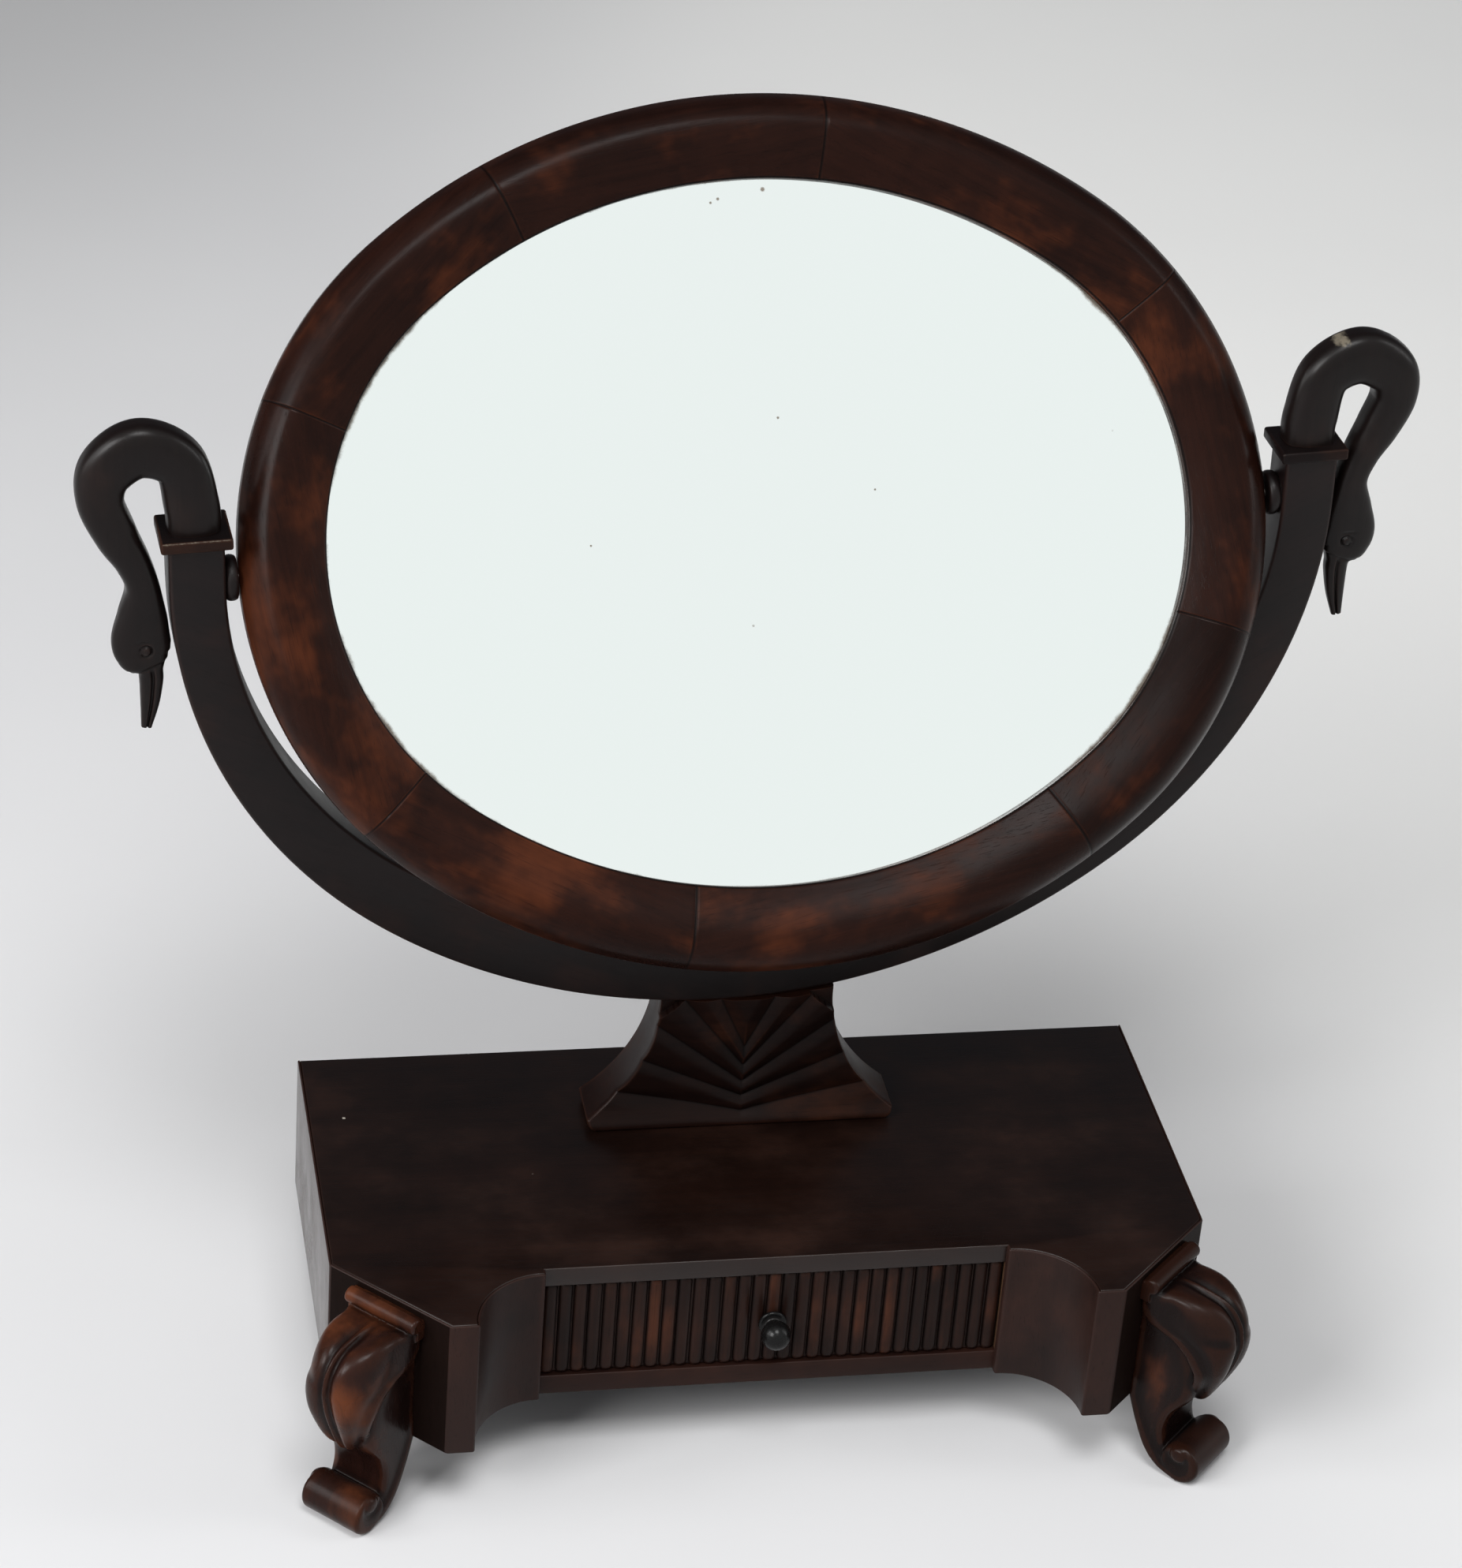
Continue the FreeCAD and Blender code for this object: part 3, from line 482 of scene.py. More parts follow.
leg_back = np.array([(0, 37.5), (5.0, 24.4), (11.5, 11.6), (19.5, 3.9), (31.2, 0)])
leg_front = np.array([(5, 111), (5, 100), (15, 90), (27, 77), (33.2, 62), (31, 47.9), (24, 37.5), (20.9, 29),
                      (20.6, 22), (22.3, 15.5), (28, 10)])
band_width = np.array([(0, 9), (4, 8), (12, 6), (25, 4.6), (40, 3.4), (47, 2.0), (50, 0)])  # by height
knee_rows = np.array([      # shares of the height, of the reach behind and in front, and of the half width
    (0.368, 0.52, 0.61, 0.06), (0.386, 0.50, 0.69, 0.30), (0.43, 0.583, 0.76, 0.58), (0.51, 0.646, 0.845, 0.84),
    (0.59, 0.673, 0.92, 1.00), (0.645, 0.625, 0.96, 1.06), (0.70, 0.53, 0.987, 1.09), (0.745, 0.365, 1.00, 1.11),
    (0.78, 0.135, 0.99, 1.13), (0.83, 0.04, 0.963, 1.14), (0.888, 0.02, 0.875, 1.12), (0.926, 0.01, 0.74, 1.07),
    (0.941, 0.01, 0.54, 1.00), (0.944, 0.01, 0.34, 0.93), (0.932, 0.01, 0.14, 0.86)])
cleft_depth, cleft_width = 3.2, 4.0
rib_height, rib_width = 3.7, 1.4
leaf_waves = ((1.4, 0.38, 0.20), (-0.8, 0.70, 0.13), (0.2, 0.90, 0.08))  # lobe, flute and lip: height, place and width
leaf_sink = 0.6             # the leaf's ground, below the plain knee


def smooth_run(rows, count):
    """Smooth curve through rows of numbers: cubic pieces whose slope at each row is that between its neighbours."""
    slope = np.gradient(rows, axis=0)
    place = np.linspace(0, len(rows) - 1, count)
    piece = np.minimum(place.astype(int), len(rows) - 2)
    t = (place - piece)[:, None]
    start, end, leave, arrive = rows[piece], rows[piece + 1], slope[piece], slope[piece + 1]
    return (start * (1 + 2 * t) * (1 - t) ** 2 + leave * t * (1 - t) ** 2
            + end * t * t * (3 - 2 * t) + arrive * t * t * (t - 1))


def even_run(points, count):
    """The same run of points, spaced evenly along its length."""
    length = np.concatenate([[0], np.cumsum(np.linalg.norm(np.diff(points, axis=0), axis=1))])
    place = np.linspace(0, length[-1], count)
    return np.column_stack([np.interp(place, length, points[:, axis]) for axis in range(points.shape[1])])


def bump(distance, width):
    """Rounded ridge: 1 at no distance, falling off as a bell of the given width."""
    return np.exp(-(distance / width) ** 2)


def squared(turn, squareness):
    """Cosine and sine of a rounded square: 2 is a circle, more is squarer."""
    cosine, sine = np.cos(turn), np.sin(turn)
    return (np.sign(cosine) * np.abs(cosine) ** (2 / squareness), np.sign(sine) * np.abs(sine) ** (2 / squareness))


def hollow(distance, soft=0.8):
    """Soft step from 0 to 1 where a distance passes nothing."""
    return 1 / (1 + np.exp(-distance / soft))


def side_half(x, z, away):
    """Half width of the foot at a place on its side: a band of changing width along the back edge, a hollow inside
    it, and a domed eye in a ring of shade that narrows as it winds round below the eye."""
    eye = np.hypot(x - eye_x, z - eye_z)
    wound = (np.arctan2(z - eye_z, x - eye_x) - shade_start) % TURN
    shade = eye_radius + shade_least + shade_wide * (1 - wound / shade_long).clip(0, 1) ** 1.5
    ring = hollow(eye - eye_radius) * hollow(shade - eye)
    side = hollow(away - np.interp(z, *band_width.T)) * hollow(eye - shade)
    dome = np.sqrt((1 - (eye / eye_radius) ** 2).clip(0, 1))
    return foot_half - side_ease - hollow_depth * np.maximum(ring, side) + eye_rise * dome


def leg_shell(rows=190, across=90):
    """Leg from the top to the toe: straight lines from the back edge to the front edge, with carved sides."""
    back = even_run(np.vstack([[[0, foot_height - 2]], smooth_run(leg_back, 80)]), rows)
    front = even_run(smooth_run(leg_front, 160), rows)
    share = np.linspace(0, 1, across)[None, :, None]
    side = back[:, None] * (1 - share) + front[:, None] * share
    x, z = side[..., 0], side[..., 1]
    away, ahead = (np.linalg.norm(side - edge[:, None], axis=2) for edge in (back, front))
    half = side_half(x, z, away) - back_round * np.exp(-away / back_run) - front_round * np.exp(-ahead / front_run)
    return tube(np.concatenate([np.dstack([x, half, z]), np.dstack([x, -half, z])[:, ::-1]], 1))


def toe_shell(sides=120, rings=50):
    """Toe scroll: a drum across the foot, with the band, the shade and the eye on its ends and a rounded rim."""
    radius = np.linspace(0.02, toe_radius, rings)[:, None]
    turn = np.linspace(0, TURN, sides, endpoint=False)[None, :]
    x, z = toe_x + radius * np.cos(turn), toe_radius + radius * np.sin(turn)
    end = side_half(x, z, -1.0 + 0 * x) - toe_rim * (radius / toe_radius) ** 14
    return tube(np.concatenate([np.dstack([x, end, z]), np.dstack([x, -end, z])[::-1]]))


def leaf_shell(rows=130, across=170):
    """Knee: rounded sections through the knee rows, with the relief of a leaf added along the surface's normal: a
    cleft with a thin rib in it, two full lobes, a flute outside each and a lip along the edge."""
    high, behind, ahead, wide = smooth_run(knee_rows, rows).T[:, :, None]
    aside, out = squared(np.linspace(0, math.pi, across)[None, :], 2.4)
    plain = np.dstack([(behind + (ahead - behind) * out) * foot_reach, aside * wide * foot_half,
                       high * foot_height + 0 * out])
    down, over = np.gradient(plain, axis=0), np.gradient(plain, axis=1)
    normal = np.cross(over, down)
    normal /= np.linalg.norm(normal, axis=2, keepdims=True).clip(1e-9)
    normal *= np.sign(normal[rows // 2, across // 2, 0])
    run = np.cumsum(np.linalg.norm(over, axis=2), 1)
    run -= (run[:, :1] + run[:, -1:]) / 2
    share = np.abs(run) / run[:, -1:]
    climb = np.linspace(0, 1, rows)
    fade = np.minimum(climb / 0.18, (1 - climb) / 0.14).clip(0, 1)[:, None]
    relief = -cleft_depth * bump(run, cleft_width) + rib_height * bump(run, rib_width)
    for height, place, width in leaf_waves:
        relief = relief + height * bump(share - place, width)
    return tube(plain + (fade * relief - leaf_sink)[..., None] * normal)


def bar_shell(radius, half, centre, soft=1.5, count=48):
    """Round bar across the foot with softened ends."""
    turn = np.linspace(0, math.pi / 2, 8)
    ends = soft * (1 - np.sin(turn))
    stops = np.concatenate([soft * (1 - np.cos(turn)) - half, half - soft * (1 - np.cos(turn[::-1]))])
    size = radius - np.concatenate([ends, ends[::-1]])
    around = np.linspace(0, TURN, count, endpoint=False)[None, :]
    x = centre[0] + size[:, None] * np.cos(around)
    z = centre[1] + size[:, None] * np.sin(around)
    return tube(np.dstack([x, stops[:, None] * np.ones_like(x), z]))


def gather(shells):
    """Several shells as one list of points and one list of faces."""
    points, faces, count = [], [], 0
    for shell_points, shell_faces in shells:
        points.append(shell_points)
        faces += [[corner + count for corner in face] for face in shell_faces]
        count += len(shell_points)
    return np.vstack(points), faces


def carve(name, shells, grit, passes=8):
    """One carved skin round several shells: they are merged on a fine grid and rubbed smooth without shrinking."""
    points, faces = gather(shells)
    rough = bpy.data.objects.new(name, new_mesh(name, points, faces))
    bpy.context.scene.collection.objects.link(rough)
    remesh = rough.modifiers.new("skin", "REMESH")
    remesh.mode, remesh.voxel_size = "VOXEL", grit * MM
    bpy.context.view_layer.update()
    mesh = bpy.data.meshes.new_from_object(rough.evaluated_get(bpy.context.evaluated_depsgraph_get()))
    bpy.data.objects.remove(rough)
    points, edges = read(mesh, "co", 3).astype(float), read(mesh, "vertices", 2, np.int32)
    for _ in range(passes):
        for strength in (1.0, -1.04):
            even = np.column_stack([spread(points[:, axis], edges, 1) for axis in range(3)])
            points += strength * (even - points)
    mesh.vertices.foreach_set("co", points.astype(np.float32).ravel())
    mesh.update()
    return mesh


backing = np.array([(0.0, -roll_half), (0.0, roll_half), (roll_x, roll_half), (roll_x, -roll_half)])[::-1]
foot_shells = [leg_shell(), toe_shell(), leaf_shell(),
               slab(backing, foot_height - backing_low, foot_height - backing_drop, backing_ease),
               bar_shell(roll_radius, roll_half, (roll_x, foot_height - roll_radius))]
foot_mesh = carve("front_foot", foot_shells, foot_grit)
foot_skin = read(foot_mesh, "co", 3).astype(float)
foot_skin[:, 2] = foot_skin[:, 2].clip(0, None)
foot_deep, foot_body, foot_glow = (0.0056, 0.0027, 0.0023), (0.0165, 0.0062, 0.0046), (0.105, 0.030, 0.011)
foot_wood = mahogany("foot_mahogany", foot_deep, foot_body, foot_glow, rubbed=0.10, polish=0.22, patches=0.5,
                     gloss=0.11)

# The stain has worn warm on the side of the right leg. The near lobe and the roll of the left foot are warmed too: worn
# stain, and a painted highlight.
foot_x, foot_y, foot_z = foot_skin.T / MM
side_warmth = 0.25 * bump(np.hypot(foot_x - 14, (foot_z - 46) / 3.0), 8) * hollow(np.abs(foot_y) - 12)
lobe_wear_and_highlight = 0.36 * bump(np.hypot(foot_y - 8, (foot_z - 84) / 2.2), 6) * hollow(foot_x - 16, 2)
roll_wear_and_highlight = 0.13 * bump(np.hypot(foot_x - roll_x, foot_z - foot_height + roll_radius), 6)
for side, name, tone in ((-1, "left", 0.06), (1, "right", -0.16)):
    turn = math.radians(-90 + 45 * side)
    mesh = foot_mesh.copy()
    outward = np.array([math.cos(turn), math.sin(turn), 0])
    across = np.array([-outward[1], outward[0], 0])
    corner = (case_origin + [side * (half_width - cant / 2), cant / 2, 0]) * MM
    place = corner + foot_skin @ np.stack([outward, across, (0, 0, 1)])
    mesh.vertices.foreach_set("co", place.astype(np.float32).ravel())
    mesh.update()
    grain_along(mesh, (0.1 * side, 0, 1), (0.5 * side, 0.9, 0.2))
    write_attribute(mesh, "tone", tone + (side_warmth if side > 0 else lobe_wear_and_highlight + roll_wear_and_highlight))
    weather(mesh, 12.0, 50)
    make_piece("carved_foot_" + name, mesh, foot_wood, "base", replaces=["front_foot_" + name], sharp=180)


# Rear feet: plain tapered blocks of softwood, glued under the back corners. They are stained to match the case and
# left rough from the saw, since they stand out of sight.

stain_pale, stain_dark = (0.040, 0.017, 0.010), (0.016, 0.007, 0.005)
rear_wood = dry_wood("stained_block", stain_pale, stain_dark, 2)
for name in ("rear_foot_left", "rear_foot_right"):
    keep_node(name, rear_wood, 1.0)


# Drawer box: thin deal sides, back and floor, nailed to a plain mahogany front. The floor is let into grooves in the
# sides and the front. All of it is bare wood that has gone brown and dry.

for node, index in (("drawer_side_left", 1), ("drawer_side_right", 1), ("drawer_back", 0), ("drawer_floor", 0)):
    keep_node(node, deal[index], 0.5)
front_pale, front_dark = (0.028, 0.012, 0.008), (0.012, 0.005, 0.004)
front_wood = dry_wood("drawer_front_mahogany", front_pale, front_dark, 0)
keep_node("drawer_front", front_wood, 0.4)


# Drawer reeds: thirty-one half-round mahogany beads, glued upright side by side on the drawer front. Their ends are
# nosed, each piece has its own tone, and black old wax fills the gaps; the flanks of each reed by the gaps are
# darkened as well, a painted shade.

reed_low, reed_high = corners("drawer_reeds")
reed_count = 31
reed_gap = 0.55
reed_nose = 3.0
reed_across = 15
reed_step = np.array([0.37, 0.11, 0.23])            # from one reed to the next in the log, in metres
reed_patches = ((0.26, 0.09), (0.69, 0.07))         # worn warm: places and widths, as shares of the drawer
reed_pitch = (reed_high[0] - reed_low[0] + reed_gap) / reed_count
reed_seed = 11
draw = np.random.default_rng(reed_seed)


def reeds():
    """All reeds at once: a half ellipse across, closed flat behind, drawn in as a quarter round at both ends."""
    length = reed_high[2] - reed_low[2]
    rows = np.concatenate([np.linspace(0, 1, 7) ** 2 * reed_nose, np.linspace(0.12, 0.48, 5) * length])
    rows = np.concatenate([reed_low[2] + rows, reed_high[2] - rows[::-1]])
    inside = np.minimum(rows - reed_low[2], reed_high[2] - rows).clip(0, reed_nose)
    nose = np.sqrt(1 - (1 - inside / reed_nose) ** 2) * 0.85 + 0.15
    turn = np.linspace(-math.pi / 2, math.pi / 2, reed_across)
    middle = reed_low[0] - reed_gap / 2 + (np.arange(reed_count) + 0.5) * reed_pitch
    sway = draw.normal(0, 0.10, (reed_count, 1, 1))
    half = (reed_pitch - reed_gap) / 2
    x = middle[:, None, None] + half * np.sin(turn) * (0.4 + 0.6 * nose[:, None]) + sway
    y = reed_high[1] - (reed_high[1] - reed_low[1]) * np.cos(turn) ** 0.8 * nose[:, None] + 0 * x
    return np.stack([x, y, rows[:, None] + 0 * x], -1)


reed_points, reed_faces = gather([tube(grid) for grid in reeds()])
reed_mesh = new_mesh("drawer_reeds", reed_points, reed_faces)
reed_place = read(reed_mesh, "co", 3) / MM
reed_number = ((reed_place[:, 0] - reed_low[0]) / reed_pitch).astype(int).clip(0, reed_count - 1)
reed_tone = draw.uniform(-0.05, 0.03, reed_count)[reed_number]
reed_share = (reed_place - reed_low) / (reed_high - reed_low)
reed_tone += 0.19 * bump(reed_share[:, 2] - 0.45, 0.3) * sum(bump(reed_share[:, 0] - place, width)
                                                             for place, width in reed_patches)
reed_aside = np.abs((reed_place[:, 0] - reed_low[0] + reed_gap / 2) / reed_pitch - reed_number - 0.5) * 2
grain_along(reed_mesh, (0, 0, 1), reed_number[:, None] * reed_step)
write_attribute(reed_mesh, "tone", reed_tone)
# The flanks of each reed, towards the gaps, go to the crease colour: old wax, and painted shade between the rounds.
weather(reed_mesh, 1.2, 0, ((reed_aside - 0.55) / 0.3).clip(0, 1))
reed_deep, reed_body, reed_glow = (0.0075, 0.0036, 0.0028), (0.0230, 0.0090, 0.0060), (0.080, 0.024, 0.010)
reed_wood = mahogany("reed_mahogany", reed_deep, reed_body, reed_glow, 0.2, 0.33, patches=0.42, creases_grime_and_shade=0.95, gloss=0.1)
make_piece("reed_facing", reed_mesh, reed_wood, "drawer", replaces=["drawer_reeds"])


# Drawer knob: turned from ebonised wood, with a stem through the drawer front, a collar, a short neck and a ball.
# It is polished black, with a little grey dust in the turning.

knob_low, knob_high = corners("drawer_knob")
knob_axis = (knob_low + knob_high) / 2
knob_stem = 2.5
knob_ball = 7.2
knob_reach = reed_low[1] - 10.5
knob_collar, knob_rim = 5.7, 1.1        # the collar's radius to the middle of its rim, and the rim's own
knob_neck, neck_long, neck_scoop = 4.6, 1.6, 1.1
neck_end = 4.3                          # radius where the neck meets the ball


def lathe(profile, count=64):
    """Turned shell about the first axis: each profile point (along, radius) becomes a ring."""
    along, radius = np.asarray(profile, float).T[:, :, None]
    turn = np.linspace(0, TURN, count, endpoint=False)[None, :]
    return np.dstack([along + 0 * turn, radius * np.cos(turn), radius * np.sin(turn)])


def knob_profile():
    """Stem, collar with a rounded rim, cove of the neck and the ball, as (distance back, radius)."""
    seat = reed_low[1]
    turn = np.linspace(-math.pi / 2, math.pi / 2, 9)
    rim = np.column_stack([seat - knob_rim - knob_rim * np.sin(turn), knob_collar + knob_rim * np.cos(turn)])
    neck_turn = np.linspace(0, math.pi, 9)[1:-1]
    neck = np.column_stack([seat - 2 * knob_rim - neck_long * (1 - np.cos(neck_turn)) / 2,
                            knob_neck - neck_scoop * np.sin(neck_turn)])
    ball_turn = np.linspace(math.asin(neck_end / knob_ball), math.pi - 0.02, 26)
    ball = np.column_stack([knob_reach + knob_ball * np.cos(ball_turn), knob_ball * np.sin(ball_turn)])
    stem = [(knob_high[1], knob_stem), (seat, knob_stem)]
    return np.vstack([stem, rim, neck, ball])


knob_grid = lathe(knob_profile())
knob_points, knob_faces = tube(knob_grid[..., [1, 0, 2]] + [knob_axis[0], 0, knob_axis[2]])
knob_mesh = new_mesh("turned_knob", knob_points, knob_faces)
weather(knob_mesh, 1.5, 1)
knob_finish, start = new_finish("ebonised_polish")
smear = start.node("ShaderNodeTexCoord", output="Object").noise((420, 420, 420), 4, 0.6)
dusty = attribute(start, "crease") * 0.8 + smear.step(0.55, 0.80) * 0.25
surface(start, {"Base Color": dusty.blend((0.0042, 0.0040, 0.0040), (0.025, 0.023, 0.022)),
                "Roughness": 0.20 + 0.22 * smear.step(0.4, 0.8), "Specular IOR Level": 0.16})
make_piece("turned_knob", knob_mesh, knob_finish, "drawer", ["drawer_knob"])


# Yoke: two arms of dark mahogany that meet over the pedestal, each a quarter of a crescent and a short upright. They
# are sawn from thick board, with flat faces and softened arrises, and stand a little twisted and sunk to one side.

tilt_joint = next(joint for joint in frame["joints"] if joint["name"] == "mirror_tilt")
pivot = np.array(tilt_joint["pos_m"]) / MM
yoke_x = np.array(tilt_joint["axis"]) / np.linalg.norm(tilt_joint["axis"])
yoke_y = np.cross((0, 0, 1), yoke_x) / np.linalg.norm(np.cross((0, 0, 1), yoke_x))
yoke_axes = np.stack([yoke_x, yoke_y, np.cross(yoke_x, yoke_y)])
arm_inside = 245.5
arm_width = 25.0
yoke_clear = 212.0
yoke_middle = 37.5
yoke_half = 11.0
arm_rise = 21.5
arm_ease = 1.8


def oval(half_x, half_y, turn):
    """Four-centred oval struck from a 3-4-5 triangle: the point whose outward normal has a direction, as (x, z).

    With d the difference of the half sizes, the ends are arcs about 1.5 d along x with radius b - d/2, and the
    sides are arcs about 2 d across with radius a + d. They meet where the tangent is four in three."""
    excess = half_x - half_y
    cosine, sine = np.cos(turn), np.sin(turn)
    flat = np.abs(sine) > 0.8
    radius = np.where(flat, half_x + excess, half_y - excess / 2)
    x = np.where(flat, 0, 1.5 * excess * np.sign(cosine)) + radius * cosine
    z = np.where(flat, -2 * excess * np.sign(sine), 0) + radius * sine
    return np.stack([x, z], -1)


def boxed(half_wide, half_deep, ease, steps=4):
    """Rectangle with rounded corners about the origin, as (wide, deep)."""
    turn = np.linspace(0, math.pi / 2, steps + 1)
    turns = (turn[None, :] + np.arange(4)[:, None] * math.pi / 2).ravel()
    corner_x = np.repeat([1, -1, -1, 1], steps + 1)
    corner_y = np.repeat([1, 1, -1, -1], steps + 1)
    return (corner_x * (half_wide - ease) + ease * np.cos(turns), corner_y * (half_deep - ease) + ease * np.sin(turns))


def arm_shell(side):
    """One arm: a rounded rectangle between the outer and the inner oval, from the middle up to the collar."""
    turn = np.linspace(-math.pi / 2, 0, 110)
    outer = oval(arm_inside + arm_width, yoke_clear + yoke_middle, turn)
    inner = oval(arm_inside, yoke_clear, turn)
    rise = np.linspace(0, arm_rise, 8)[1:, None] * [0, 1]
    outer, inner = np.vstack([outer, outer[-1] + rise]), np.vstack([inner, inner[-1] + rise])
    middle, reach = (outer + inner) / 2, (outer - inner) / 2
    half = np.linalg.norm(reach, axis=1)
    along, deep = boxed(half[:, None], yoke_half, arm_ease)
    place = middle[:, None] + (reach / half[:, None])[:, None] * along[..., None]
    return tube(np.dstack([side * place[..., 0], deep + 0 * along, place[..., 1]]))


def in_yoke(points):
    """Points drawn about the pivot axis, as the yoke stands."""
    return pivot + points @ yoke_axes


yoke_deep, yoke_body, yoke_glow = (0.0036, 0.0023, 0.0023), (0.0072, 0.0038, 0.0036), (0.026, 0.010, 0.007)
yoke_wood = mahogany("yoke_mahogany", yoke_deep, yoke_body, yoke_glow, rubbed=0.30, polish=0.36, patches=0.25)
for side, name in ((-1, "left"), (1, "right")):
    points, faces = arm_shell(side)
    stand_piece("crescent_arm_" + name, "yoke_arm_" + name, in_yoke(points), faces, yoke_wood,
                yoke_axes[0] + side * 0.5 * yoke_axes[2], (0.6 * side, 0.2, 0.8))
keep_node("yoke_tenon", deal[2], 0.4)


# Collars: square plates of mahogany between the arms and the swans, with rounded edges, held by the swans' tenons.
# Hands have rubbed the left one orange, and its front edge to a strip of bare wood.

collar_lip = 3.5
collar_half = (arm_width / 2 + collar_lip, yoke_half + collar_lip)
collar_thick = 5.6
collar_ease = 1.2
collar_rub = {-1: 2.0, 1: 0.7}  # the left collar is rubbed farther in from its edges
arm_middle = arm_inside + arm_width / 2
collar_glow = (0.044, 0.017, 0.009)
collar_wood = mahogany("collar_mahogany", yoke_deep, yoke_body, collar_glow, 0.45, 0.33, patches=0.2, gloss=0.09)


def in_yoke_frame(mesh):
    """Places of a mesh's vertices, measured in the yoke about the pivot axis."""
    return (read(mesh, "co", 3) / MM - pivot) @ yoke_axes.T


for side, name in ((-1, "left"), (1, "right")):
    loop = np.column_stack(boxed(*collar_half, collar_ease))
    points, faces = slab(loop, arm_rise, arm_rise + collar_thick, collar_ease)
    mesh = stand_piece("square_collar_" + name, "collar_" + name, in_yoke(points + [side * arm_middle, 0, 0]), faces,
                       collar_wood, yoke_axes[0], (0.3 * side, 0.6, 0.1), (collar_rub[side], 1))
    place = in_yoke_frame(mesh)
    edge = np.maximum(arm_rise + collar_thick - place[:, 2], collar_half[1] + place[:, 1])
    write_attribute(mesh, "bare", 0.62 * (side < 0) * bump(edge, 1.0))


# Swans: carved from mahogany plank, tenoned through the collars. The neck rises, curls outward and hangs to a head
# with a drilled eye under a brow, and a beak with a mouth line. The flat faces are rounded off all round, and the
# crown of the right swan is worn to bare wood.

swan_height = 56.0
swan_reach = 51.0
swan_neck = 12.0
swan_half = 9.75
swan_hang = {-1: 1.8, 1: -2.7}  # each swan is carved by eye: the left head hangs a little lower
swan_rows = np.array([      # shares of the reach, of the height, and of the half width at the collar
    (0.000, 0.000, 1.00), (0.010, 0.208, 1.02), (0.108, 0.584, 0.98), (0.430, 0.729, 1.08),
    (0.720, 0.579, 1.02), (0.790, 0.329, 0.88), (0.675, 0.030, 0.80), (0.540, -0.224, 0.66),
    (0.465, -0.457, 0.64), (0.475, -0.722, 0.92), (0.495, -0.944, 1.10), (0.475, -1.076, 1.02),
    (0.445, -1.156, 0.80), (0.425, -1.216, 0.50), (0.420, -1.316, 0.45), (0.440, -1.526, 0.36),
    (0.480, -1.756, 0.20)])
swan_eye = np.array([23.6, -56.5])
socket_radius = 2.7
pupil_radius = 1.9
beak_way = 0.838            # way along the swan to the beak's base
mouth_way = 0.835
worn_crown = np.array([9.5, 51.5])


def swan_shell(side, rings=420, sides=160):
    """Swan: rounded sections square to a smooth run, thinner from front to back with the cube of the way along.

    On both faces an eye is sunk in a ring under a brow line, and a line parts the two halves of the beak."""
    run = even_run(smooth_run(swan_rows * [swan_reach, swan_height, swan_neck], 1500), rings)
    heading = np.gradient(run[:, :2], axis=0)
    heading /= np.linalg.norm(heading, axis=1)[:, None]
    way = np.linspace(0, 1, rings)
    depth = swan_half * (1 - 0.8 * way ** 3)
    turn = (np.arange(sides) + 0.5) * TURN / sides
    wide, deep = squared(turn, 2.9)
    x = run[:, :1] - heading[:, 1:] * run[:, 2:] * wide
    z = run[:, 1:2] + heading[:, :1] * run[:, 2:] * wide
    from_eye = np.hypot(x - swan_eye[0], z - swan_eye[1])
    brow = np.hypot((x - swan_eye[0] - 0.5) / 3.4, (z - swan_eye[1] - 4.6) / 0.7)
    along = ((way - mouth_way) / 0.02).clip(0, 1)[:, None]
    mouth = along * bump(wide + 0.10, 0.14) * (1 + 1.2 * way[:, None] ** 6)
    base = bump((way - beak_way)[:, None], 0.006)
    sunk = (0.9 * bump(from_eye - socket_radius, 0.55) - 0.6 / (1 + np.exp((from_eye - pupil_radius) * 5))
            + 0.5 * bump(brow, 1.0) + 0.8 * mouth + 0.5 * base)
    y = deep * depth[:, None] - np.sign(deep) * np.minimum(sunk, 0.6 * depth[:, None]) * (np.abs(deep) > 0.55)
    hang = swan_hang[side] * ((way - 0.28) / 0.25).clip(0, 1)[:, None]
    return tube(np.dstack([side * (arm_middle + x), y, arm_rise + collar_thick + z - hang]))


swan_deep, swan_body, swan_glow = (0.0034, 0.0022, 0.0021), (0.0068, 0.0039, 0.0035), (0.024, 0.011, 0.008)
swan_wood = mahogany("swan_mahogany", swan_deep, swan_body, swan_glow, rubbed=0.25, polish=0.28, patches=0.3,
                     gloss=0.17)
for side, name in ((-1, "left"), (1, "right")):
    points, faces = swan_shell(side)
    mesh = stand_piece("carved_swan_" + name, "swan_" + name, in_yoke(points), faces, swan_wood, yoke_axes[2],
                       (0.1, 0.5 * side, 0.4), (2.0, 2))
    place = in_yoke_frame(mesh) - [arm_middle, 0, arm_rise + collar_thick]
    from_crown = np.hypot((place[:, 0] - worn_crown[0]) / 1.7, place[:, 2] - worn_crown[1])
    write_attribute(mesh, "bare", 0.75 * (side > 0) * bump(from_crown, 3.6) * (place[:, 1] < 4))
    keep_node("swan_tenon_" + name, deal[2], 0.3)


# Pedestal: one mahogany block with concave sides and a rounded foot that sweeps forward, stub-tenoned into the case
# top. Its face is carved as a fan of rounded bands between five chevron grooves, with plain cut corners under the
# yoke.

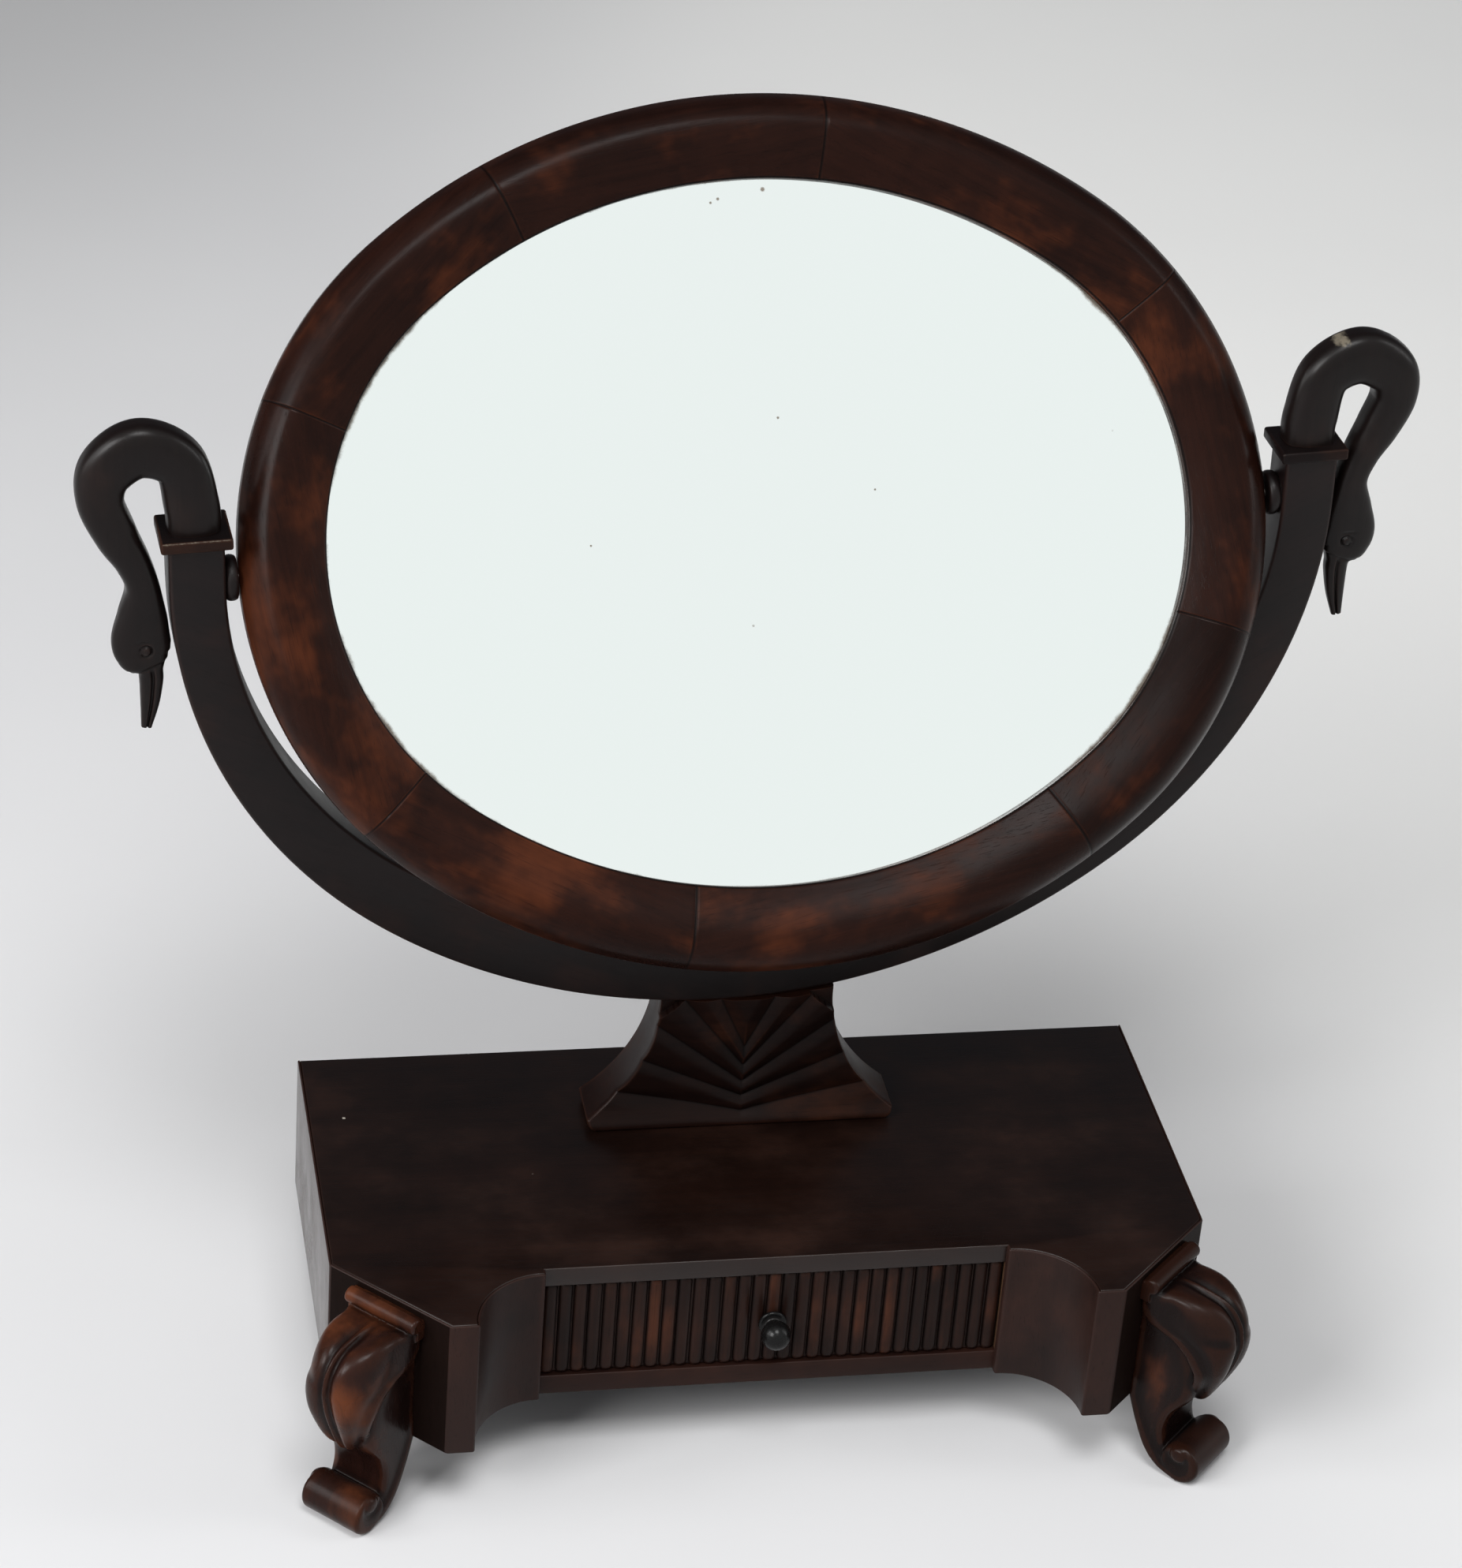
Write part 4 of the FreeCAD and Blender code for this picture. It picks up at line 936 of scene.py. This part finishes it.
pedestal_low, pedestal_high = corners("pedestal")
pedestal_y = (pedestal_low[1] + pedestal_high[1]) / 2 - case_origin[1]
pedestal_half_depth = (pedestal_high[1] - pedestal_low[1]) / 2
foot_half_width = (pedestal_high[0] - pedestal_low[0]) / 2
pedestal_height = 72.0
top_half_width = 42.5
pedestal_nose = 6.0
fan_depth = 1.9
fan_count = 5
fan_first, fan_step, fan_growth = 7.0, 6.9, 0.52    # heights of the chevrons' points on the middle line
fan_lean, fan_turn = 11.5, 13.5                     # degrees: the first chevron's arms, and what each later one adds
ear_depth = 4.0
ear_wide, ear_high = 11.0, 9.0
foot_round = 5.0
foot_flare = 7.0            # the face sweeps forward this far at the foot
flare_high = 18.0
seat_slack = 2.0            # the old joint gapes this far at its right end


def pedestal_half(z):
    """Half width at a height: a concave arc down to the nose, which is a quarter round."""
    rise, flare = pedestal_height - pedestal_nose, foot_half_width - top_half_width
    radius = (rise ** 2 + flare ** 2) / (2 * flare)
    up = (pedestal_height - z).clip(0, rise)
    arc = top_half_width + radius - np.sqrt(radius ** 2 - up ** 2)
    low = (pedestal_nose - z).clip(0, pedestal_nose)
    return arc - pedestal_nose + np.sqrt(pedestal_nose ** 2 - low ** 2)


def fan_relief(x, z):
    """Depth of the carving: bands between chevrons z = apex + slope |x|, each rounded like a reed, and the ears."""
    number = np.arange(fan_count)
    apex = (fan_first + fan_step * number + fan_growth * number ** 2)[:, None, None]
    leans = np.radians(fan_lean + fan_turn * number)
    slope = np.tan(leans)[:, None, None]
    lines = np.concatenate([np.full((1, *x.shape), -7.0), apex + slope * np.abs(x), np.full((1, *x.shape), 400.0)])
    band = (z[None] >= lines[1:-1]).sum(0)
    low = np.take_along_axis(lines, band[None], 0)[0]
    high = np.take_along_axis(lines, band[None] + 1, 0)[0]
    lean = np.concatenate([[0], leans, [math.radians(65)]])
    away = np.minimum((z - low) * np.cos(lean[band]), (high - z) * np.cos(lean[np.minimum(band + 1, fan_count + 1)]))
    across = (away / ((high - low) * np.cos(lean[band])).clip(1, 15)).clip(0, 0.5)
    round_edge = 1 - np.sin(math.pi * across)
    ear = (np.abs(x) - (top_half_width - ear_wide) + (z - pedestal_height) * ear_wide / ear_high) > 0
    return fan_depth * round_edge * ~ear + ear_depth * ear


def pedestal_shell(rows=190, across=240, deep=14):
    """Pedestal: at each height a rectangle with the fan on its front side, which sweeps forward at the foot with the
    square of the way down, up to the hollow under the yoke. The hollow's height at each place is found by repeating."""
    share = np.linspace(-1, 1, across)
    lean = math.atan2(yoke_x[2], yoke_x[0])
    turn = np.linspace(-math.pi * 0.72, -math.pi * 0.28, 400)
    bottom = oval(arm_inside + arm_width, yoke_clear + yoke_middle, turn) + [0, yoke_clear + yoke_middle]
    leaned_x = bottom[:, 0] * math.cos(lean) - bottom[:, 1] * math.sin(lean)
    leaned_z = bottom[:, 0] * math.sin(lean) + bottom[:, 1] * math.cos(lean)
    seat = np.full(across, pedestal_height)
    for _ in range(12):
        seat = pedestal_height + np.interp(share * pedestal_half(seat), leaned_x, leaned_z)
    seat = seat - seat_slack * ((share + 0.1) / 1.1).clip(0, 1)
    climb = np.linspace(0, 1, rows)[:, None]
    z = climb * seat[None, :]
    half = pedestal_half(z)
    x = half * share
    low = (foot_round - z).clip(0, foot_round)
    rounded = foot_round - np.sqrt(foot_round ** 2 - low ** 2)
    inset = fan_relief(x, z) + rounded - foot_flare * (1 - z / flare_high).clip(0, 1) ** 2
    edge = 1.6 * (1 - (1 - ((np.abs(share) - 0.985) / 0.015).clip(0, 1) ** 2) ** 0.5)
    front = np.dstack([x, -pedestal_half_depth + inset + edge, z])
    back = np.dstack([x, np.full_like(x, pedestal_half_depth), z])[:, ::-1]
    run = np.linspace(0, 1, deep)[1:-1][None, :, None]
    right = front[:, -1:] * (1 - run) + back[:, :1] * run
    left = back[:, -1:] * (1 - run) + front[:, :1] * run
    return tube(np.concatenate([front, right, back, left], 1))


ped_deep, ped_body, ped_glow = (0.0048, 0.0022, 0.0019), (0.0120, 0.0047, 0.0034), (0.042, 0.014, 0.007)
ped_wood = mahogany("pedestal_mahogany", ped_deep, ped_body, ped_glow, rubbed=0.25, polish=0.30, patches=0.7,
                    creases_grime_and_shade=0.75, gloss=0.085)
ped_points, ped_faces = pedestal_shell()
stand_piece("fan_pedestal", "pedestal", ped_points + case_origin + [0, pedestal_y, top_z], ped_faces, ped_wood,
            (1, 0, 0), (0.7, 0.2, 0.3), (3.0, 3), sharp=50)


# Pivots: a steel pin in each arm, and on it a turned mahogany boss with a rounded rim, which fills the space beside
# the frame. The pins are old steel, scratched and browned.

boss_radius = 10.5
boss_wide = 6.1
boss_bore = 3.1
boss_rim = 1.6
steel, start = new_finish("old_steel")
scratch = start.node("ShaderNodeTexCoord", output="Object").noise((900, 200, 200), 3, 0.6)
surface(start, {"Base Color": scratch.step(0.3, 0.8).blend((0.20, 0.19, 0.18), (0.09, 0.06, 0.045)), "Metallic": 1.0,
                "Roughness": 0.35 + 0.2 * scratch})
keep_node("pivot_pins", steel, 0)


def hoop(grid):
    """Closed shell from rings of points whose last ring joins the first."""
    return grid.reshape(-1, 3), weave(*grid.shape[:2], True, True).tolist()


boss_turn = np.linspace(-math.pi / 2, math.pi / 2, 9)
boss_profile = np.vstack([[(arm_inside, boss_bore), (arm_inside, boss_radius - boss_rim + 0.1)],
                          np.column_stack([arm_inside - boss_wide / 2 - (boss_wide / 2 - 0.2) * np.sin(boss_turn),
                                           boss_radius - boss_rim + boss_rim * np.cos(boss_turn)]),
                          [(arm_inside - boss_wide, boss_bore)]])
boss_points, boss_faces = gather([hoop(lathe(boss_profile) * [side, 1, 1]) for side in (-1, 1)])
stand_piece("turned_bosses", "pivot_bosses", in_yoke(boss_points), boss_faces, yoke_wood, yoke_axes[2], (0.9, 0.1, 0.5),
            (2.0, 1))


# Oval frame: eight lengths of mahogany, butt-jointed and glued into an oval, then worked to a full cushion moulding
# with a rebate behind. The joints have opened to dark lines, and the polish has worn orange on the crown.

tilt = math.radians(30)
sight_x = 200.0
sight_z = 160.0
ring_width = 39.0
ring_back = 12.0
rebate = 8.0
glass_y = -6.0
ring_joints = np.radians((36.5, 81.0, 114.5, 154.5, 222.0, 259.0, 300.5, 338.5))
joint_gap = 0.35
cushion_places = np.array([(0.8, 4.6), (8.5, 8.0), (16, 10.4), (22, 11.5), (26.5, 11.3), (30, 9.8), (33.2, 7.3),
                           (36, 4.0), (37.8, 0.6)])
mirror_axes = np.stack([yoke_axes[0], math.cos(tilt) * yoke_axes[1] - math.sin(tilt) * yoke_axes[2],
                        math.sin(tilt) * yoke_axes[1] + math.cos(tilt) * yoke_axes[2]])


def in_mirror(points):
    """Points drawn on the upright mirror about the pivot axis, as it hangs tilted in the yoke."""
    return pivot + points @ mirror_axes


def ring_profile():
    """Section of the frame as (outward, forward): sight lip, cushion, rolled outer edge, back and rebate."""
    cushion = even_run(smooth_run(cushion_places, 200), 38)
    plain = np.vstack([[(0.0, 0.0), (0.0, 3.6)], cushion,
                       [(ring_width, -2.2), (ring_width, -ring_back + 1.0), (ring_width - 1.0, -ring_back),
                        (rebate, -ring_back), (rebate, 0.0)]])
    return eased_path(plain, 0.7, 3)


def ring_grid(start, end, rows):
    """One length of the frame: the section carried between two joints, drawn in by a hair at both ends."""
    share = np.linspace(-1, 1, rows)
    turn = (start + end) / 2 + (end - start) / 2 * np.sin(share * math.pi / 2)
    section = ring_profile()
    path, out = oval(sight_x, sight_z, turn), np.stack([np.cos(turn), np.sin(turn)], -1)
    near = np.minimum(turn - start, end - turn) * sight_z
    place = path[:, None] + out[:, None] * section[None, :, :1]
    forward = section[None, :, 1] - joint_gap * bump(near, 0.4)[:, None] * (section[None, :, 1] > 0.5)
    return np.dstack([place[..., 0], glass_y - forward, place[..., 1]]), near[:, None] + 0 * forward


ring_deep, ring_body, ring_glow = (0.0062, 0.0024, 0.0018), (0.0170, 0.0056, 0.0036), (0.084, 0.022, 0.008)
ring_wood = mahogany("frame_mahogany", ring_deep, ring_body, ring_glow, rubbed=0.15, polish=0.25, patches=0.55,
                     creases_grime_and_shade=0.9, gloss=0.062)
ring_ends = np.append(ring_joints[1:], ring_joints[0] + TURN)
ring_tones = (0.02, 0.00, 0.02, 0.05, 0.05, 0.03, -0.06, 0.02)
ring_shells, ring_grain, ring_tone, ring_near = [], [], [], []
for number, (first, last) in enumerate(zip(ring_joints, ring_ends)):
    grid, near = ring_grid(first + 1e-5, last - 1e-5, 84)
    (x, y, z), middle = grid.reshape(-1, 3).T, (first + last) / 2
    along, radial = z * math.cos(middle) - x * math.sin(middle), x * math.cos(middle) + z * math.sin(middle)
    ring_shells.append(tube(grid))
    ring_grain.append(np.stack([along, radial, y], 1) * MM + np.array([0.31, 0.17, 0.23]) * number)
    ring_tone.append(np.full(len(x), ring_tones[number]))
    ring_near.append(near.ravel())
ring_points, ring_faces = gather(ring_shells)
ring_mesh = new_mesh("oval_frame", in_mirror(ring_points), ring_faces)
write_attribute(ring_mesh, "grain", np.vstack(ring_grain))
write_attribute(ring_mesh, "tone", np.concatenate(ring_tone))
weather(ring_mesh, 3.0, 1, bump(np.concatenate(ring_near), 0.35))
make_piece("cushion_frame", ring_mesh, ring_wood, "mirror", replaces=["oval_frame"])


# Mirror glass: a silvered plate with a faint green cast, lying in the rebate. The silvering is pricked with small
# dark specks and has foxed brown along the edge.

glass, start = new_finish("silvered_plate")
place = start.node("ShaderNodeTexCoord", output="Object")
glass_turn = Matrix([list(axis) for axis in mirror_axes]).transposed().to_euler()
plate = start.node("ShaderNodeMapping", {"vector_type": "TEXTURE"},
                   {"Vector": place, "Location": pivot * MM, "Rotation": glass_turn})
flat = start.node("ShaderNodeSeparateXYZ", inputs={"Vector": plate})
high = start.node("ShaderNodeSeparateXYZ", inputs={"Vector": plate}, output=2)
edge_x, edge_z = flat * (1 / (sight_x * MM)), high * (1 / (sight_z * MM))
rim = edge_x * edge_x + edge_z * edge_z
fox = (rim + 0.05 * plate.noise((60, 60, 60), 4, 0.7)).step(1.012, 1.040)
cells = start.node("ShaderNodeTexVoronoi", {"feature": "F1"}, {"Vector": plate, "Scale": 24.0})
pricks = (1 - cells.step(0.012, 0.030)) * plate.noise((9, 9, 9), 0).step(0.56, 0.60)
glass_marks = ((12.0, 155.0, 1.0), (-9.0, 152.0, 0.7), (-12.5, 150.5, 0.6), (10.4, 51.7, 0.6), (52.8, 15.8, 0.5),
               (-80.4, 0.8, 0.5))       # the larger pricks: place from the pivots and size
for mark_x, mark_z, size in glass_marks:
    aside, above = flat - mark_x * MM, high - mark_z * MM
    pricks = pricks + (1 - (aside * aside + above * above).step((0.5 * size * MM) ** 2, (1.4 * size * MM) ** 2))
blemish = (fox * 0.8 + pricks * 0.8).step(0.0, 1.0)
colour = blemish.blend((0.93, 0.965, 0.95), (0.10, 0.07, 0.04))
surface(start, {"Base Color": colour, "Metallic": 1 - 0.7 * blemish, "Roughness": 0.015 + 0.4 * blemish})
keep_node("mirror_glass", glass, 0)


# Back of the mirror: a thin oval deal board in the rebate behind the glass, held by small glued wedges. Both are bare
# wood, browned like the drawer.

keep_node("back_board", deal[0], 0)
keep_node("back_wedges", deal[1], 0.3)


# Floor, light and camera: pale paper that runs out into a pale backdrop, a soft key from the left, a high lamp in
# front and a strip on either side. The view is from in front, above and to the left of the case.

floor_size = 14.0
pale_grey = (0.76, 0.77, 0.77)


def seen_rays(start):
    """1 for rays from the camera and for those that mirror or pass through a piece, 0 for light that falls on it."""
    camera, glossy, through = (start.node("ShaderNodeLightPath", output="Is " + kind + " Ray")
                               for kind in ("Camera", "Glossy", "Transmission"))
    return (camera + glossy + through).step(0.0, 1.0)


floor_mesh = bpy.data.meshes.new("paper_floor")
floor_corners = np.array([(-1, -1, 0), (1, -1, 0), (1, 1, 0), (-1, 1, 0)]) * floor_size / 2
floor_mesh.from_pydata(floor_corners.tolist(), [], [(0, 1, 2, 3)])
paper, start = new_finish("pale_paper")
spot = start.node("ShaderNodeTexCoord", output="Object")
creases = spot.noise((2.2, 2.2, 2.2), 3, 0.5)
aside, beyond = (start.node("ShaderNodeSeparateXYZ", inputs={"Vector": spot}, output=axis) for axis in (0, 1))
# The paper's colour is painted lighter to the right and far back, and darker far to the left, a painted fall of light;
# the creases are faint marks in the paper.
far_painted_light = (0.3 * beyond + 1.6 * aside).step(0.2, 1.2)
shade = (creases.step(0.3, 0.7) * 0.1 + far_painted_light * 0.9).blend((0.65, 0.65, 0.66), (0.86, 0.86, 0.85))
shade = ((beyond - 1.2 * aside).step(1.2, 2.2) * 0.9).blend(shade, (0.47, 0.47, 0.475))
sheet = start.node("ShaderNodeBsdfPrincipled",
                   inputs={"Base Color": shade, "Roughness": 0.9, "Specular IOR Level": 0.1})
backdrop = start.node("ShaderNodeEmission", inputs={"Color": (*pale_grey, 1), "Strength": 1.0})
edge = (aside * aside + beyond * beyond).step(5.0, 14.0)
fade = start.node("ShaderNodeMixShader", inputs={0: edge * seen_rays(start), 1: sheet, 2: backdrop})
start.node("ShaderNodeOutputMaterial", inputs={"Surface": fade})
floor_mesh.materials.append(paper)
floor = bpy.data.objects.new("paper_floor", floor_mesh)
bpy.context.scene.collection.objects.link(floor)


def lamp(name, place, aim, width, height, power):
    """White rectangular soft lamp at a place in metres, facing a point."""
    data = bpy.data.lights.new(name, "AREA")
    data.shape, data.size, data.size_y, data.energy = "RECTANGLE", width, height, power
    light = bpy.data.objects.new(name, data)
    light.location = place
    light.rotation_euler = (Vector(aim) - Vector(place)).to_track_quat("-Z", "Y").to_euler()
    bpy.context.scene.collection.objects.link(light)


lamp("key", (-2.88, -2.0, 2.52), (0, 0, 0.2), 1.76, 1.76, 125)
lamp("front", (-0.16, -1.8, 3.88), (0, 0, 0.1), 1.5, 1.5, 85)
lamp("left_strip", (-3.04, -0.32, 1.72), (0, 0, 0.3), 0.96, 2.24, 33)
lamp("right_strip", (3.0, -0.64, 1.8), (0.2, 0, 0.4), 0.64, 2.24, 20)

world = bpy.data.worlds.new("studio")
bpy.context.scene.world = world
world.use_nodes = True
world.node_tree.nodes.clear()
start = Flow(world.node_tree)
toward = start.node("ShaderNodeTexCoord", output="Generated")
ahead = start.node("ShaderNodeSeparateXYZ", inputs={"Vector": toward}, output=1)
wall = ahead.step(-0.15, 0.55).blend((0.88, 0.91, 0.905), (0.10, 0.10, 0.11))
wall = start.node("ShaderNodeLightPath", output="Is Camera Ray").blend(wall, pale_grey)
pale = start.node("ShaderNodeBackground", inputs={"Color": wall, "Strength": 1.0})
fill = start.node("ShaderNodeBackground", inputs={"Color": (0.98, 0.99, 1.0, 1), "Strength": 0.25})
sky = start.node("ShaderNodeMixShader", inputs={0: seen_rays(start), 1: fill, 2: pale})
start.node("ShaderNodeOutputWorld", inputs={"Surface": sky})

photo_width, photo_height = 1853, 1988
focal_pixels = 5666.4
camera_place = np.array([-393.9, -1591.6, 1286.4])
yaw, pitch, roll = (math.radians(angle) for angle in (12.2126, -31.5154, 4.5716))
ahead = np.array([math.sin(yaw) * math.cos(pitch), math.cos(yaw) * math.cos(pitch), math.sin(pitch)])
level = np.array([math.cos(yaw), -math.sin(yaw), 0])
upright = np.cross(level, ahead)
right = level * math.cos(roll) + upright * math.sin(roll)
up = upright * math.cos(roll) - level * math.sin(roll)
camera_data = bpy.data.cameras.new("photo_camera")
camera_data.sensor_width = 36.0
camera_data.lens = focal_pixels * camera_data.sensor_width / max(photo_width, photo_height)
camera_data.clip_end = 60.0
camera = bpy.data.objects.new("photo_camera", camera_data)
stand = (camera_place + case_origin + [0, 0, top_z]) * MM
camera.matrix_world = Matrix([[*row, place] for row, place in zip(np.stack([right, up, -ahead], 1), stand)]
                             + [[0, 0, 0, 1]])
bpy.context.scene.collection.objects.link(camera)
bpy.context.scene.camera = camera
bpy.context.scene.view_settings.view_transform = "Standard"
